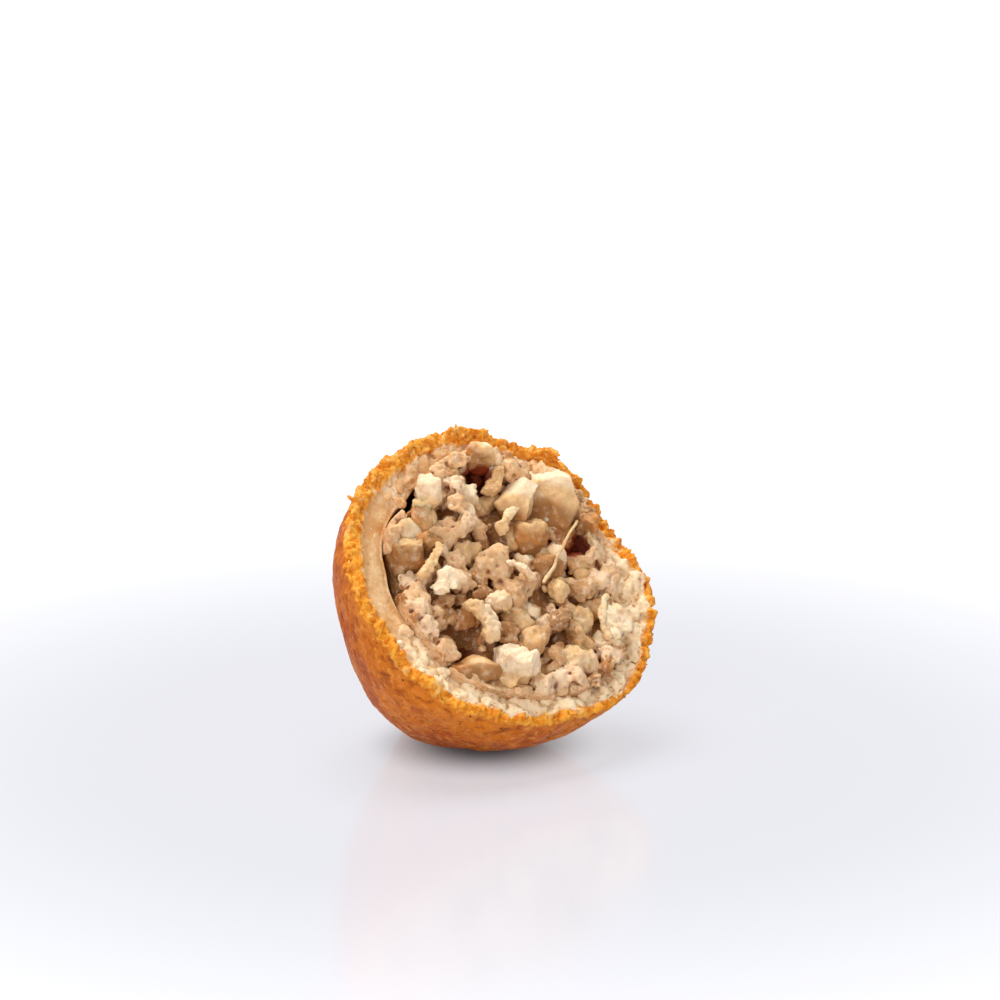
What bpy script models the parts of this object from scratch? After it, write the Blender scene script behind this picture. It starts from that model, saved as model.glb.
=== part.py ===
"""One broken half of a fried kibbeh: a thick dough shell with a browned crust and a torn rim,
filled with a loose heap of cooked mince and chopped nuts.

Both pieces are shaped in the kibbeh's own frame, with the broken face round the origin, its
normal along +Z and the pinched tip at -Z. An empty then lays the half on its side, as it rests.
"""

import math
import random

import bmesh
import bpy
from mathutils import Matrix, Vector, noise

# Driving dimensions, in metres
FACE_LONG = 0.0526  # across the broken face, the long way
FACE_SHORT = 0.0508
TIP_DEPTH = 0.0355  # from the broken face back to where the sides would meet
TIP_END = 0.960  # the share of that depth where the tip is rounded off
CAVITY_DEPTH = 0.0260
RIM_ROUND = 0.0006  # how far the rim's two edges are rounded over
FACE_HEIGHT = 0.0278  # the middle of the broken face above the table
CLEARANCE = 0.0004  # between the filling and the dough

# How the half lies, and which way its section is oval, in degrees
FACE_LIFT = 40.6  # the broken face's normal above the horizontal
OVAL_TURN = -16.0

# The middle line sinks from the face to the tip: its slope, and how much it curves
SAG_SLOPE = 0.078
SAG_BEND = 0.085

# Round the face from +X at equal steps: the dough wall, crust included, and how far the
# hand-formed outline strays from the oval, in millimetres
WALL_MM = (
    5.8, 4.4, 3.2, 2.9, 2.8, 2.9, 4.2, 6.0, 6.8, 6.6, 6.5, 7.0,
    6.8, 6.8, 6.2, 4.8, 5.0, 5.0, 4.7, 4.2, 4.0, 4.5, 5.6, 6.3,
)
STRAY_MM = (
    -1.3, -1.4, -0.2, 0.7, 0.8, 0.8, 0.0, -0.8, -0.1, 0.0, -0.1, 0.0,
    0.1, -0.3, 0.4, 0.9, -0.4, -1.2, -0.7, 0.3, 0.1, 0.7, 0.5, 0.6,
)
STRAY_DEPTH = 0.009  # below the face the outline eases back to the oval

# Torn rim
RIM_WAVE = 0.0009  # slow rise and fall of the rim
RIM_CRAG = 0.0011  # teeth left where the crust tore
RIM_SLOPE = 0.0012  # how far the rim falls from the crust to the hollow
CRAG_DEPTH = 0.0030  # how far below the rim the tear still shows
RIM_SHARES = (0.0, 0.10, 0.26, 0.48, 0.72, 0.92, 1.0)  # rings from the crust to the hollow

# The largest teeth of torn crust: turn in degrees, height and half width in millimetres
TEETH = ((81, 1.3, 1.5), (46, 2.0, 1.3), (31, 1.3, 1.6), (357, 1.2, 1.4), (336, 1.4, 2.0), (103, 0.9, 2.0), (216, 0.8, 2.2))

# Hand-formed body
LUMP = 0.0008
LUMP_SPAN = 0.013
TIP_PINCH = 0.12  # depth of the three soft flats that meet at the tip

# Filling: its level below the face, on the gap's side and on the far side
LEVEL_GAP_SIDE = -0.0019
LEVEL_FAR_SIDE = -0.0006
HEAP_LUMP = 0.0012
HEAP_SPAN = 0.0046
GAP_TURN = 160.0  # the side where the filling has shrunk from the dough, in degrees
GAP_WIDTH = 0.0013
GAP_DEPTH = 0.0100

# Hollows between the pieces: place across the face, radius and depth, in millimetres
HOLLOWS_MM = (
    (4.0, 16.6, 3.0, 5.4),
    (15.3, 2.2, 2.2, 4.6),
    (-10.8, -7.0, 2.6, 4.0),
    (-10.6, -10.0, 1.8, 2.6),
    (2.7, 6.5, 2.0, 3.4),
    (7.9, 3.2, 2.0, 2.8),
    (3.2, -11.0, 1.8, 3.4),
    (-14.2, 7.6, 2.6, 2.6),
)

# Largest pieces: place across the face, rise above the heap, length, width, thickness, turn
LARGE_PIECES_MM = (
    (15.8, 10.4, 1.6, 13.6, 9.8, 6.6, 60),
    (7.0, 21.4, 1.6, 6.4, 4.4, 3.6, 12),
    (-6.8, 15.2, 1.0, 7.0, 5.6, 4.6, 100),
    (-2.8, 11.0, 0.8, 7.4, 5.4, 4.2, 95),
    (10.0, 12.8, 1.4, 6.4, 4.0, 3.8, 75),
    (6.2, 9.6, 1.2, 5.4, 2.8, 2.8, 70),
    (-11.2, 5.4, 1.0, 6.0, 2.4, 2.2, 55),
    (-10.4, 1.4, 0.8, 6.6, 5.2, 3.6, 100),
    (-0.8, 2.0, 1.0, 7.4, 5.6, 4.2, 15),
    (-15.4, -1.2, 0.5, 6.4, 5.0, 3.4, 120),
    (-4.4, -14.2, 1.2, 8.0, 6.2, 4.8, 30),
    (-11.8, -13.8, 0.6, 7.2, 4.0, 3.0, -5),
    (-6.2, -6.6, 1.0, 5.6, 3.6, 3.8, 80),
    (8.4, -12.2, 0.5, 6.4, 5.0, 3.6, 120),
    (15.6, -12.0, 1.0, 6.4, 4.6, 4.0, 75),
    (10.6, 6.8, 0.0, 6.2, 4.8, 3.4, 20),
    (-13.6, 6.6, -1.0, 6.2, 4.6, 3.6, 20),
)
MEDIUM_PIECES = 74
SMALL_PIECES = 120
MEDIUM_SIZE = (0.0032, 0.0050)
SMALL_SIZE = (0.0020, 0.0030)
SEED = 13

STEPS_SHELL = 88
STEPS_HEAP = 52


def clear_scene():
    for obj in list(bpy.data.objects):
        bpy.data.objects.remove(obj, do_unlink=True)


def collection(name):
    made = bpy.data.collections.new(name)
    bpy.context.scene.collection.children.link(made)
    return made


def material(name, rgb, roughness):
    made = bpy.data.materials.new(name)
    made.use_nodes = True
    shader = made.node_tree.nodes["Principled BSDF"]
    shader.inputs["Base Color"].default_value = (*rgb, 1.0)
    shader.inputs["Roughness"].default_value = roughness
    shader.inputs["Metallic"].default_value = 0.0
    return made


def smooth(x):
    x = min(1.0, max(0.0, x))
    return x * x * (3.0 - 2.0 * x)


def mix(a, b, share):
    return a + (b - a) * share


def round_value(values, turn):
    """A value given at equal steps round the face, eased between them."""
    place = (turn / math.tau) % 1.0 * len(values)
    step = int(place) % len(values)
    return mix(values[step], values[(step + 1) % len(values)], smooth(place - int(place)))


def oval_radius(turn):
    """The broken face's outer radius."""
    across = turn - math.radians(OVAL_TURN)
    long_way, short_way = FACE_LONG / 2, FACE_SHORT / 2
    return long_way * short_way / math.hypot(short_way * math.cos(across), long_way * math.sin(across))


def taper(depth):
    """The body's radius at a depth behind the face, as a share of its radius at the face."""
    t = depth / TIP_DEPTH
    return max(0.0, 1.0 - t * t)


def outer_radius(turn, depth):
    """Out to the crust: an oval that tapers to a tip pinched on three sides, with soft lumps."""
    t = max(0.0, depth) / TIP_DEPTH
    # one of the three flats faces down, a ridge faces up
    pinch = 1.0 + TIP_PINCH * t * t * math.cos(3.0 * turn + math.pi / 2)
    stray = round_value(STRAY_MM, turn) / 1000 * smooth(1.0 - max(0.0, depth) / STRAY_DEPTH)
    plain = oval_radius(turn) * taper(depth) * pinch + stray
    spot = Vector((math.cos(turn) * plain, math.sin(turn) * plain, -depth)) / LUMP_SPAN
    return plain + LUMP * noise.noise(spot) * min(1.0, 4.0 * taper(depth))


def cavity_radius(turn, depth):
    """Out to the dough's inner wall."""
    t = min(1.0, max(0.0, depth) / CAVITY_DEPTH)
    return (oval_radius(turn) - round_value(WALL_MM, turn) / 1000) * math.sqrt(1.0 - t * t)


def rim_height(turn, share):
    """How far the torn rim stands above the face, from the crust (share 0) to the hollow (1)."""
    spot = Vector((math.cos(turn), math.sin(turn), 0.0))
    wave = RIM_WAVE * noise.noise(spot * 2.6 + Vector((7.0, 0.0, 0.0)))
    crag = noise.noise(spot * 17.0 + Vector((0.0, 0.0, 3.0 * share)))
    fine = noise.noise(spot * 41.0 + Vector((0.0, 5.0, 6.0 * share)))
    tear = RIM_CRAG * (crag + 0.7 * fine) * mix(1.0, 0.35, smooth(share * 2.0))
    tooth = 0.0
    for at, rise, half_width in TEETH:
        away = math.remainder(turn - math.radians(at), math.tau) * FACE_LONG / 2 / (half_width / 1000)
        tooth = max(tooth, rise / 1000 * math.exp(-away * away) * smooth(1.0 - 2.5 * share))
    return wave + tear + tooth - RIM_SLOPE * share


def turned(name, profile, steps):
    """A mesh turned about Z from (radius, height) points."""
    line = bpy.data.meshes.new(name + "_profile")
    line.from_pydata([(r, 0.0, z) for r, z in profile], [(i, i + 1) for i in range(len(profile) - 1)], [])
    obj = bpy.data.objects.new(name + "_profile", line)
    bpy.context.scene.collection.objects.link(obj)
    screw = obj.modifiers.new("turn", "SCREW")
    screw.axis = "Z"
    screw.steps = steps
    screw.render_steps = steps
    screw.use_merge_vertices = True
    screw.merge_threshold = 0.00001
    graph = bpy.context.evaluated_depsgraph_get()
    mesh = bpy.data.meshes.new_from_object(obj.evaluated_get(graph))
    bpy.data.objects.remove(obj, do_unlink=True)
    return mesh


def shell_profile():
    """From the hollow's floor up its wall, over the rim and down the crust to the tip."""
    floor = [(0.0, -CAVITY_DEPTH)]
    inner_depths = [CAVITY_DEPTH * math.cos(math.radians(a)) for a in range(9, 85, 11)]
    inner = [(FACE_LONG / 2 * 0.74 * math.sqrt(1.0 - (d / CAVITY_DEPTH) ** 2), -d) for d in inner_depths]
    hollow_edge = FACE_LONG / 2 * 0.74
    rim = [(mix(FACE_LONG / 2, hollow_edge, s), -RIM_ROUND * abs(2.0 * s - 1.0) ** 6) for s in reversed(RIM_SHARES)]
    outer_depths = [TIP_DEPTH * TIP_END * (i / 19.0) ** 0.94 for i in range(1, 20)]
    outer = [(FACE_LONG / 2 * taper(d), -d) for d in outer_depths if d > 2.0 * RIM_ROUND]
    return floor + inner + rim + outer + [(0.0, -TIP_DEPTH * (TIP_END + 1.0) / 2)]


def wall_share(radius, depth):
    """0 on the crust and 1 on the hollow's wall, on the plain turned shell."""
    outer = FACE_LONG / 2 * taper(max(0.0, depth))
    if depth > CAVITY_DEPTH + 1e-6:
        return 0.0
    inner = FACE_LONG / 2 * 0.74 * math.sqrt(max(0.0, 1.0 - (max(0.0, depth) / CAVITY_DEPTH) ** 2))
    return min(1.0, max(0.0, (outer - radius) / (outer - inner)))


def shaped_shell(mesh):
    """Moves the plain turned shell's points to the hand-formed body, its uneven wall and torn rim."""
    for vertex in mesh.vertices:
        x, y, z = vertex.co
        turn = math.atan2(y, x)
        depth = -z
        share = wall_share(math.hypot(x, y), depth)
        if math.hypot(x, y) < 1e-6:
            continue
        radius = mix(outer_radius(turn, depth), cavity_radius(turn, depth), share)
        tear = smooth(1.0 - depth / CRAG_DEPTH)
        if share < 0.2:
            spot = Vector((math.cos(turn) * 30.0, math.sin(turn) * 30.0, depth * 1500.0))
            radius += 0.0007 * tear * noise.noise(spot)
        height = -depth + rim_height(turn, share) * tear
        vertex.co = (radius * math.cos(turn), radius * math.sin(turn), height)


def heap_level(x, y):
    """The filling's top, a slope that rises away from the gap, with lumps and hollows."""
    gap = math.radians(GAP_TURN)
    along = (x * math.cos(gap) + y * math.sin(gap)) / (FACE_LONG / 2)
    level = mix(LEVEL_FAR_SIDE, LEVEL_GAP_SIDE, smooth(0.5 + 0.6 * along))
    level += HEAP_LUMP * noise.noise(Vector((x / HEAP_SPAN, y / HEAP_SPAN, 4.0)))
    for place_x, place_y, radius, depth in HOLLOWS_MM:
        away = math.hypot(x * 1000 - place_x, y * 1000 - place_y) / radius
        level -= depth / 1000 * math.exp(-away * away)
    return level


def heap_radius(turn, depth):
    """The furthest out that the filling reaches: clear of the dough, less the gap on one side."""
    side = smooth(1.35 * math.cos(turn - math.radians(GAP_TURN)) - 0.35)
    gap = GAP_WIDTH * side * smooth(1.0 - depth / GAP_DEPTH)
    return max(0.0, cavity_radius(turn, depth + CLEARANCE) - CLEARANCE - gap)


def heap_core():
    """The filling's solid middle, from the centre of its top out to the wall and down to its foot."""
    foot = CAVITY_DEPTH - CLEARANCE
    outer = FACE_LONG / 2
    top = [(outer * i / 9.0, 0.0) for i in range(10)]
    side = [(outer * math.cos(math.radians(a)), -foot * math.sin(math.radians(a))) for a in range(12, 85, 14)]
    mesh = turned("core", list(reversed(top + side + [(0.0, -foot)])), STEPS_HEAP)
    mesh.flip_normals()
    for vertex in mesh.vertices:
        x, y, z = vertex.co
        turn = math.atan2(y, x)
        on_top = z > -1e-6
        share = math.hypot(x, y) / outer
        if on_top:
            reach = heap_radius(turn, -heap_level(x * 0.75, y * 0.75)) * share
            place_x, place_y = reach * math.cos(turn), reach * math.sin(turn)
            vertex.co = (place_x, place_y, heap_level(place_x, place_y))
        else:
            edge = heap_level(outer * 0.72 * math.cos(turn), outer * 0.72 * math.sin(turn))
            depth = mix(-edge, foot, -z / foot)
            reach = heap_radius(turn, depth) if share > 1e-6 else 0.0
            vertex.co = (reach * math.cos(turn), reach * math.sin(turn), -depth)
    return mesh


def piece(name, place, size, turn, draw, detail, group):
    """One crumb of the filling: a few-sided lump, turned, and held clear of the dough."""
    mesh = bpy.data.meshes.new(name)
    body = bmesh.new()
    bmesh.ops.create_icosphere(body, subdivisions=detail, radius=0.5)
    tilt = Matrix.Rotation(draw.uniform(-0.6, 0.6), 3, "X") @ Matrix.Rotation(draw.uniform(-0.6, 0.6), 3, "Y")
    spin = Matrix.Rotation(turn, 3, "Z") @ tilt
    for vertex in body.verts:
        away = draw.uniform(0.80, 1.16)
        local = Vector(vertex.co[i] * size[i] * away for i in range(3))
        point = spin @ local + place
        angle = math.atan2(point.y, point.x)
        reach = math.hypot(point.x, point.y)
        limit = heap_radius(angle, max(0.0, -point.z)) - 0.0001
        if reach > limit:
            point.x *= limit / reach
            point.y *= limit / reach
        vertex.co = point
    bmesh.ops.recalc_face_normals(body, faces=body.faces)
    body.to_mesh(mesh)
    body.free()
    obj = bpy.data.objects.new(name, mesh)
    group.objects.link(obj)
    return obj


def scatter(count, sizes, taken, draw, group, label):
    """Pieces of one grade, evenly spread by a golden-angle spiral, where no larger piece lies."""
    golden = math.pi * (3.0 - math.sqrt(5.0))
    made = 0
    for i in range(count * 2):
        if made == count:
            break
        share = math.sqrt((i + 0.5) / (count * 1.35))
        if share > 1.0:
            break
        turn = i * golden + draw.uniform(-0.2, 0.2)
        size = draw.uniform(*sizes)
        reach = share * (heap_radius(turn, 0.002) - 0.3 * size)
        x, y = reach * math.cos(turn), reach * math.sin(turn)
        if any(math.hypot(x - a, y - b) < 0.36 * (c + size) for a, b, c in taken):
            continue
        if any(math.hypot(x * 1000 - a, y * 1000 - b) < 0.8 * c for a, b, c, _ in HOLLOWS_MM):
            continue
        rise = draw.uniform(0.02, 0.34) * size
        place = Vector((x, y, heap_level(x, y) + rise))
        shape = (size * draw.uniform(1.0, 1.5), size * draw.uniform(0.8, 1.1), size * draw.uniform(0.6, 0.95))
        piece(f"{label}_{made}", place, shape, draw.uniform(0.0, math.tau), draw, 1, group)
        taken.append((x, y, size))
        made += 1


def joined(core, group):
    """The core and its pieces as one closed body, with any sealed hollow or loose scrap dropped."""
    union = core.modifiers.new("pieces", "BOOLEAN")
    union.operation = "UNION"
    union.operand_type = "COLLECTION"
    union.collection = group
    union.solver = "EXACT"
    graph = bpy.context.evaluated_depsgraph_get()
    mesh = bpy.data.meshes.new_from_object(core.evaluated_get(graph))
    core.modifiers.clear()
    core.data = mesh
    for obj in list(group.objects):
        bpy.data.objects.remove(obj, do_unlink=True)
    bpy.data.collections.remove(group)
    body = bmesh.new()
    body.from_mesh(mesh)
    bmesh.ops.remove_doubles(body, verts=body.verts, dist=0.000004)
    bmesh.ops.dissolve_degenerate(body, edges=body.edges, dist=0.000004)
    bmesh.ops.triangulate(body, faces=body.faces)
    main_body_only(body)
    body.to_mesh(mesh)
    body.free()


def main_body_only(body):
    """Keeps the connected surface with the most points."""
    left = set(body.verts)
    largest = set()
    while left:
        start = left.pop()
        found, edge = {start}, [start]
        while edge:
            vertex = edge.pop()
            for link in vertex.link_edges:
                other = link.other_vert(vertex)
                if other in left:
                    left.discard(other)
                    found.add(other)
                    edge.append(other)
        if len(found) > len(largest):
            largest = found
    bmesh.ops.delete(body, geom=[v for v in body.verts if v not in largest], context="VERTS")


def sagged(mesh):
    """Sinks the middle line towards the tip, so that the half is a little bent as it lies."""
    for vertex in mesh.vertices:
        depth = max(0.0, -vertex.co.z)
        vertex.co.y -= SAG_SLOPE * depth + SAG_BEND * depth * depth / TIP_DEPTH


def make_shell(parts):
    mesh = turned("shell", shell_profile(), STEPS_SHELL)
    mesh.name = "shell"
    shaped_shell(mesh)
    sagged(mesh)
    obj = bpy.data.objects.new("shell", mesh)
    parts.objects.link(obj)
    mesh.materials.clear()
    mesh.materials.append(material("fried_dough", (0.52, 0.20, 0.045), 0.55))
    return obj


def make_filling(parts):
    draw = random.Random(SEED)
    obj = bpy.data.objects.new("filling", heap_core())
    obj.data.name = "filling"
    parts.objects.link(obj)
    group = collection("filling_pieces")
    taken = []
    for number, (x, y, rise, long_way, wide, thick, turn) in enumerate(LARGE_PIECES_MM):
        x, y, rise = x / 1000, y / 1000, rise / 1000
        place = Vector((x, y, heap_level(x, y) + rise))
        size = (long_way / 1000, wide / 1000, thick / 1000)
        piece(f"large_{number}", place, size, math.radians(turn), draw, 2, group)
        taken.append((x, y, 0.5 * (size[0] + size[1])))
    scatter(MEDIUM_PIECES, MEDIUM_SIZE, taken, draw, group, "medium")
    scatter(SMALL_PIECES, SMALL_SIZE, taken, draw, group, "small")
    joined(obj, group)
    sagged(obj.data)
    obj.data.materials.clear()
    obj.data.materials.append(material("cooked_mince_and_nuts", (0.60, 0.45, 0.27), 0.5))
    return obj


def table_cutter(cutters, shell):
    """Takes the small flat spot off the crust where the half lies on the table."""
    bpy.ops.mesh.primitive_cube_add(size=0.1, location=(0.0, 0.0, -0.05))
    cutter = bpy.context.object
    cutter.name = "below_table"
    cutter.hide_render = True
    cutter.display_type = "WIRE"
    for owner in list(cutter.users_collection):
        owner.objects.unlink(cutter)
    cutters.objects.link(cutter)
    cut = shell.modifiers.new("flat_spot", "BOOLEAN")
    cut.operation = "DIFFERENCE"
    cut.object = cutter
    cut.solver = "EXACT"
    return cutter


def centred(parts, lay):
    """Slides the half over the table until its box is centred on the origin."""
    bpy.context.view_layer.update()
    corners = [obj.matrix_world @ vertex.co for obj in parts for vertex in obj.data.vertices]
    for axis in (0, 1):
        values = [corner[axis] for corner in corners]
        lay.location[axis] -= (min(values) + max(values)) / 2


def main():
    clear_scene()
    parts = collection("kibbeh_half")
    cutters = collection("cutters")
    shell = make_shell(parts)
    filling = make_filling(parts)
    lay = bpy.data.objects.new("lie_on_side", None)
    parts.objects.link(lay)
    lay.location = (0.0, 0.0, FACE_HEIGHT)
    lay.rotation_euler = (math.radians(90.0 - FACE_LIFT), 0.0, 0.0)
    for obj in (shell, filling):
        obj.parent = lay
    centred((shell, filling), lay)
    table_cutter(cutters, shell)


main()
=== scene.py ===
import math
import random

import bpy
import numpy as np
from mathutils import Matrix, Vector, noise
from mathutils.kdtree import KDTree


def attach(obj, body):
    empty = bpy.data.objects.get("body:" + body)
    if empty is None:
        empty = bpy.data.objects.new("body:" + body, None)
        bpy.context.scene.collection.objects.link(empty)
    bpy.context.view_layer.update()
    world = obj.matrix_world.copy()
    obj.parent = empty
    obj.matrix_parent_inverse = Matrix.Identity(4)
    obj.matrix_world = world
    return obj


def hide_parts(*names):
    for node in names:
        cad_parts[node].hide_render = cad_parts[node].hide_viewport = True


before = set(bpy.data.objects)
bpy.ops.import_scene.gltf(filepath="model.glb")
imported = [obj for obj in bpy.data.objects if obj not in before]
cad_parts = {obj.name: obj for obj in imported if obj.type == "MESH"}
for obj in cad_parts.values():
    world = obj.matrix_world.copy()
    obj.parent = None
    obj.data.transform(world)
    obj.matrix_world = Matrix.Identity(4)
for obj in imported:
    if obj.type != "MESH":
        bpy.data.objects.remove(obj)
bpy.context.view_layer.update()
noise.seed_set(13)  # noise_vector would otherwise start from the clock

# How the half lies. Everything is first shaped in its own frame: the middle of the broken face
# at the origin, the face looking along +Z and the tip at -Z. layDown then puts it on the table.
lying = {
    "faceCentre": (0.00011, -0.00465, 0.0278),
    "faceLift": 40.6,  # degrees, the face's normal above the horizontal
    "sagSlope": 0.078,
    "sagBend": 0.085,
}

photoCamera = {
    "azimuth": -38.0,
    "elevation": 15.0,
    "lens": 150.0,
    "sensor": 36.0,
    "pixels": 1000,  # the picture's width and height
    "metresPerPixel": 0.000153,  # at the broken face
    "faceAt": (502.6, 576.1),  # where its middle stands in the picture
}


def placeCamera(settings):
    azimuth, elevation = math.radians(settings["azimuth"]), math.radians(settings["elevation"])
    face = Vector(lying["faceCentre"])
    back = Vector((
        math.sin(azimuth) * math.cos(elevation),
        -math.cos(azimuth) * math.cos(elevation),
        math.sin(elevation),
    ))
    metres = settings["metresPerPixel"]
    place = face + back * metres * settings["lens"] / settings["sensor"] * settings["pixels"]
    right = Vector((0, 0, 1)).cross(back).normalized()
    up = back.cross(right)
    across, down = (at - settings["pixels"] / 2 for at in settings["faceAt"])
    aim = face + up * down * metres - right * across * metres
    bpy.ops.object.camera_add(location=place)
    camera = bpy.context.object
    camera.name = "photoCamera"
    camera.rotation_euler = (aim - place).to_track_quat("-Z", "Y").to_euler()
    camera.data.lens = settings["lens"]
    camera.data.sensor_width = settings["sensor"]
    camera.data.clip_start = 0.01
    bpy.context.scene.camera = camera


bpy.ops.object.select_all(action="DESELECT")
placeCamera(photoCamera)
print("camera placed")


def smooth(x):
    x = min(1.0, max(0.0, x))
    return x * x * (3.0 - 2.0 * x)


def mix(a, b, share):
    return a + (b - a) * share


def layDown(points):
    # from the half's own frame to the table
    points = np.array(points, float).reshape(-1, 3)
    depth = np.maximum(0.0, -points[:, 2])
    points[:, 1] -= lying["sagSlope"] * depth + lying["sagBend"] * depth * depth / body["tipDepth"]
    tilt = math.radians(90 - lying["faceLift"])
    y = points[:, 1] * math.cos(tilt) - points[:, 2] * math.sin(tilt)
    z = points[:, 1] * math.sin(tilt) + points[:, 2] * math.cos(tilt)
    return np.stack([points[:, 0], y, z], 1) + np.array(lying["faceCentre"])


def rotated(axes, *angles):
    # turns about these axes, the last one first
    made = Matrix.Identity(3)
    for axis, angle in zip(axes, angles):
        made = made @ Matrix.Rotation(angle, 3, axis)
    return made


def applyModifier(piece, kind, **settings):
    made = piece.modifiers.new(kind.lower(), kind)
    for key, value in settings.items():
        setattr(made, key, value)
    bpy.ops.object.modifier_apply(modifier=made.name)


def linearOf(hexColour):
    # sRGB hex to linear
    parts = [int(hexColour[i:i + 2], 16) / 255 for i in (1, 3, 5)]
    return tuple(c / 12.92 if c <= 0.04045 else ((c + 0.055) / 1.055) ** 2.4 for c in parts) + (1.0,)


def addNode(tree, kind, links=None, **settings):
    made = tree.nodes.new(kind)
    for key, value in settings.items():
        setattr(made, key, value)
    for key, value in (links or {}).items():
        if isinstance(value, bpy.types.NodeSocket):
            tree.links.new(value, made.inputs[key])
        else:
            made.inputs[key].default_value = value
    return made


def newMaterial(name):
    # the material, its tree, its shader and the object coordinates that its patterns read
    made = bpy.data.materials.new(name)
    made.use_nodes = True
    tree = made.node_tree
    return made, tree, tree.nodes["Principled BSDF"], addNode(tree, "ShaderNodeTexCoord").outputs["Object"]


def blendColours(tree, share, first, second):
    # colours as hex or as sockets
    values = [linearOf(c) if isinstance(c, str) else c for c in (first, second)]
    made = addNode(tree, "ShaderNodeMix", {0: share, 6: values[0], 7: values[1]}, data_type="RGBA")
    return made.outputs[2]


def mathOf(tree, operation, first, second):
    return addNode(tree, "ShaderNodeMath", {0: first, 1: second}, operation=operation).outputs[0]


def rangeOf(tree, value, low, high, toLow=0.0, toHigh=1.0):
    links = {0: value, 1: low, 2: high, 3: toLow, 4: toHigh}
    return addNode(tree, "ShaderNodeMapRange", links, interpolation_type="SMOOTHSTEP").outputs[0]


def noiseOf(tree, at, millimetres, detail=3.0, roughness=0.55):
    # a noise whose blotches are about this size; the file's unit is the metre
    links = {"Vector": at, "Scale": 1000.0 / millimetres, "Detail": detail, "Roughness": roughness}
    return addNode(tree, "ShaderNodeTexNoise", links).outputs["Fac"]


def wanderOf(tree, value, reach):
    # a noise's value, about 0.5, as a shift to both sides of 0
    return mathOf(tree, "MULTIPLY", mathOf(tree, "SUBTRACT", value, 0.5), reach)


def attributeOf(tree, name):
    return addNode(tree, "ShaderNodeAttribute", attribute_name=name).outputs["Fac"]


def layered(tree, colour, layers):
    # each layer: the value it follows, from and to where it comes in, its strength at most, its colour
    for value, low, high, share, layer in layers:
        colour = blendColours(tree, rangeOf(tree, value, low, high, 0.0, share), colour, layer)
    return colour


def finishShader(tree, shader, colour, height, relief, values):
    # relief: the bump's reach in metres and its strength; values: constants or sockets by name
    tree.links.new(colour, shader.inputs["Base Color"])
    for label, value in values.items():
        if isinstance(value, bpy.types.NodeSocket):
            tree.links.new(value, shader.inputs[label])
        else:
            shader.inputs[label].default_value = value
    bump = addNode(tree, "ShaderNodeBump", {"Height": height, "Distance": relief[0], "Strength": relief[1]})
    tree.links.new(bump.outputs[0], shader.inputs["Normal"])


# The dough body: the same form as the solids. Metres, degrees; the walls' thickness and how far
# the outline strays from an oval are in millimetres, every 15 degrees round the face.
body = {
    "faceLong": 0.0526,
    "faceShort": 0.0508,
    "ovalTurn": -16.0,
    "tipDepth": 0.0355,
    "tipEnd": 0.960,
    "cavityDepth": 0.0260,
    "rimRound": 0.0006,
    "wall": (
        5.8, 4.4, 3.2, 2.9, 2.8, 2.9, 4.2, 6.0, 6.8, 6.6, 6.5, 7.0,
        6.8, 6.8, 6.2, 4.8, 5.0, 5.0, 4.7, 4.2, 4.0, 4.5, 5.6, 6.3,
    ),
    "stray": (
        -1.3, -1.4, -0.2, 0.7, 0.8, 0.8, 0.0, -0.8, -0.1, 0.0, -0.1, 0.0,
        0.1, -0.3, 0.4, 0.9, -0.4, -1.2, -0.7, 0.3, 0.1, 0.7, 0.5, 0.6,
    ),
    "strayDepth": 0.009,
    "rimWave": 0.0009,
    "rimCrag": 0.0011,
    "rimSlope": 0.0012,
    "cragDepth": 0.0030,
    # degrees round the rim, then rise and half width in millimetres
    "teeth": (
        (81, 1.3, 1.5), (46, 2.0, 1.3), (31, 1.3, 1.6), (357, 1.2, 1.4), (336, 1.4, 2.0), (103, 0.9, 2.0),
        (216, 0.8, 2.2),
    ),
    "lump": 0.0008,
    "lumpSpan": 0.013,
    "tipPinch": 0.12,
}
faceHalf = body["faceLong"] / 2


def awayFrom(turn, degrees):
    # radians between a turn and a place round the face, to either side
    return math.remainder(turn - math.radians(degrees), math.tau)


def roundValue(values, turn):
    # a row of values round the face, read between its steps
    place = (turn / math.tau) % 1.0 * len(values)
    step = int(place) % len(values)
    return mix(values[step], values[(step + 1) % len(values)], smooth(place - int(place)))


def ovalRadius(turn):
    across = turn - math.radians(body["ovalTurn"])
    longWay, shortWay = faceHalf, body["faceShort"] / 2
    return longWay * shortWay / math.hypot(shortWay * math.cos(across), longWay * math.sin(across))


def taper(depth):
    t = depth / body["tipDepth"]
    return max(0.0, 1.0 - t * t)


def outerRadius(turn, depth):
    t = max(0.0, depth) / body["tipDepth"]
    pinch = 1.0 + body["tipPinch"] * t * t * math.cos(3.0 * turn + math.pi / 2)
    stray = roundValue(body["stray"], turn) / 1000 * smooth(1.0 - max(0.0, depth) / body["strayDepth"])
    plain = ovalRadius(turn) * taper(depth) * pinch + stray
    spot = Vector((math.cos(turn) * plain, math.sin(turn) * plain, -depth)) / body["lumpSpan"]
    return plain + body["lump"] * noise.noise(spot) * min(1.0, 4.0 * taper(depth))


def cavityRadius(turn, depth):
    t = min(1.0, max(0.0, depth) / body["cavityDepth"])
    return (ovalRadius(turn) - roundValue(body["wall"], turn) / 1000) * math.sqrt(1.0 - t * t)


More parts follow.
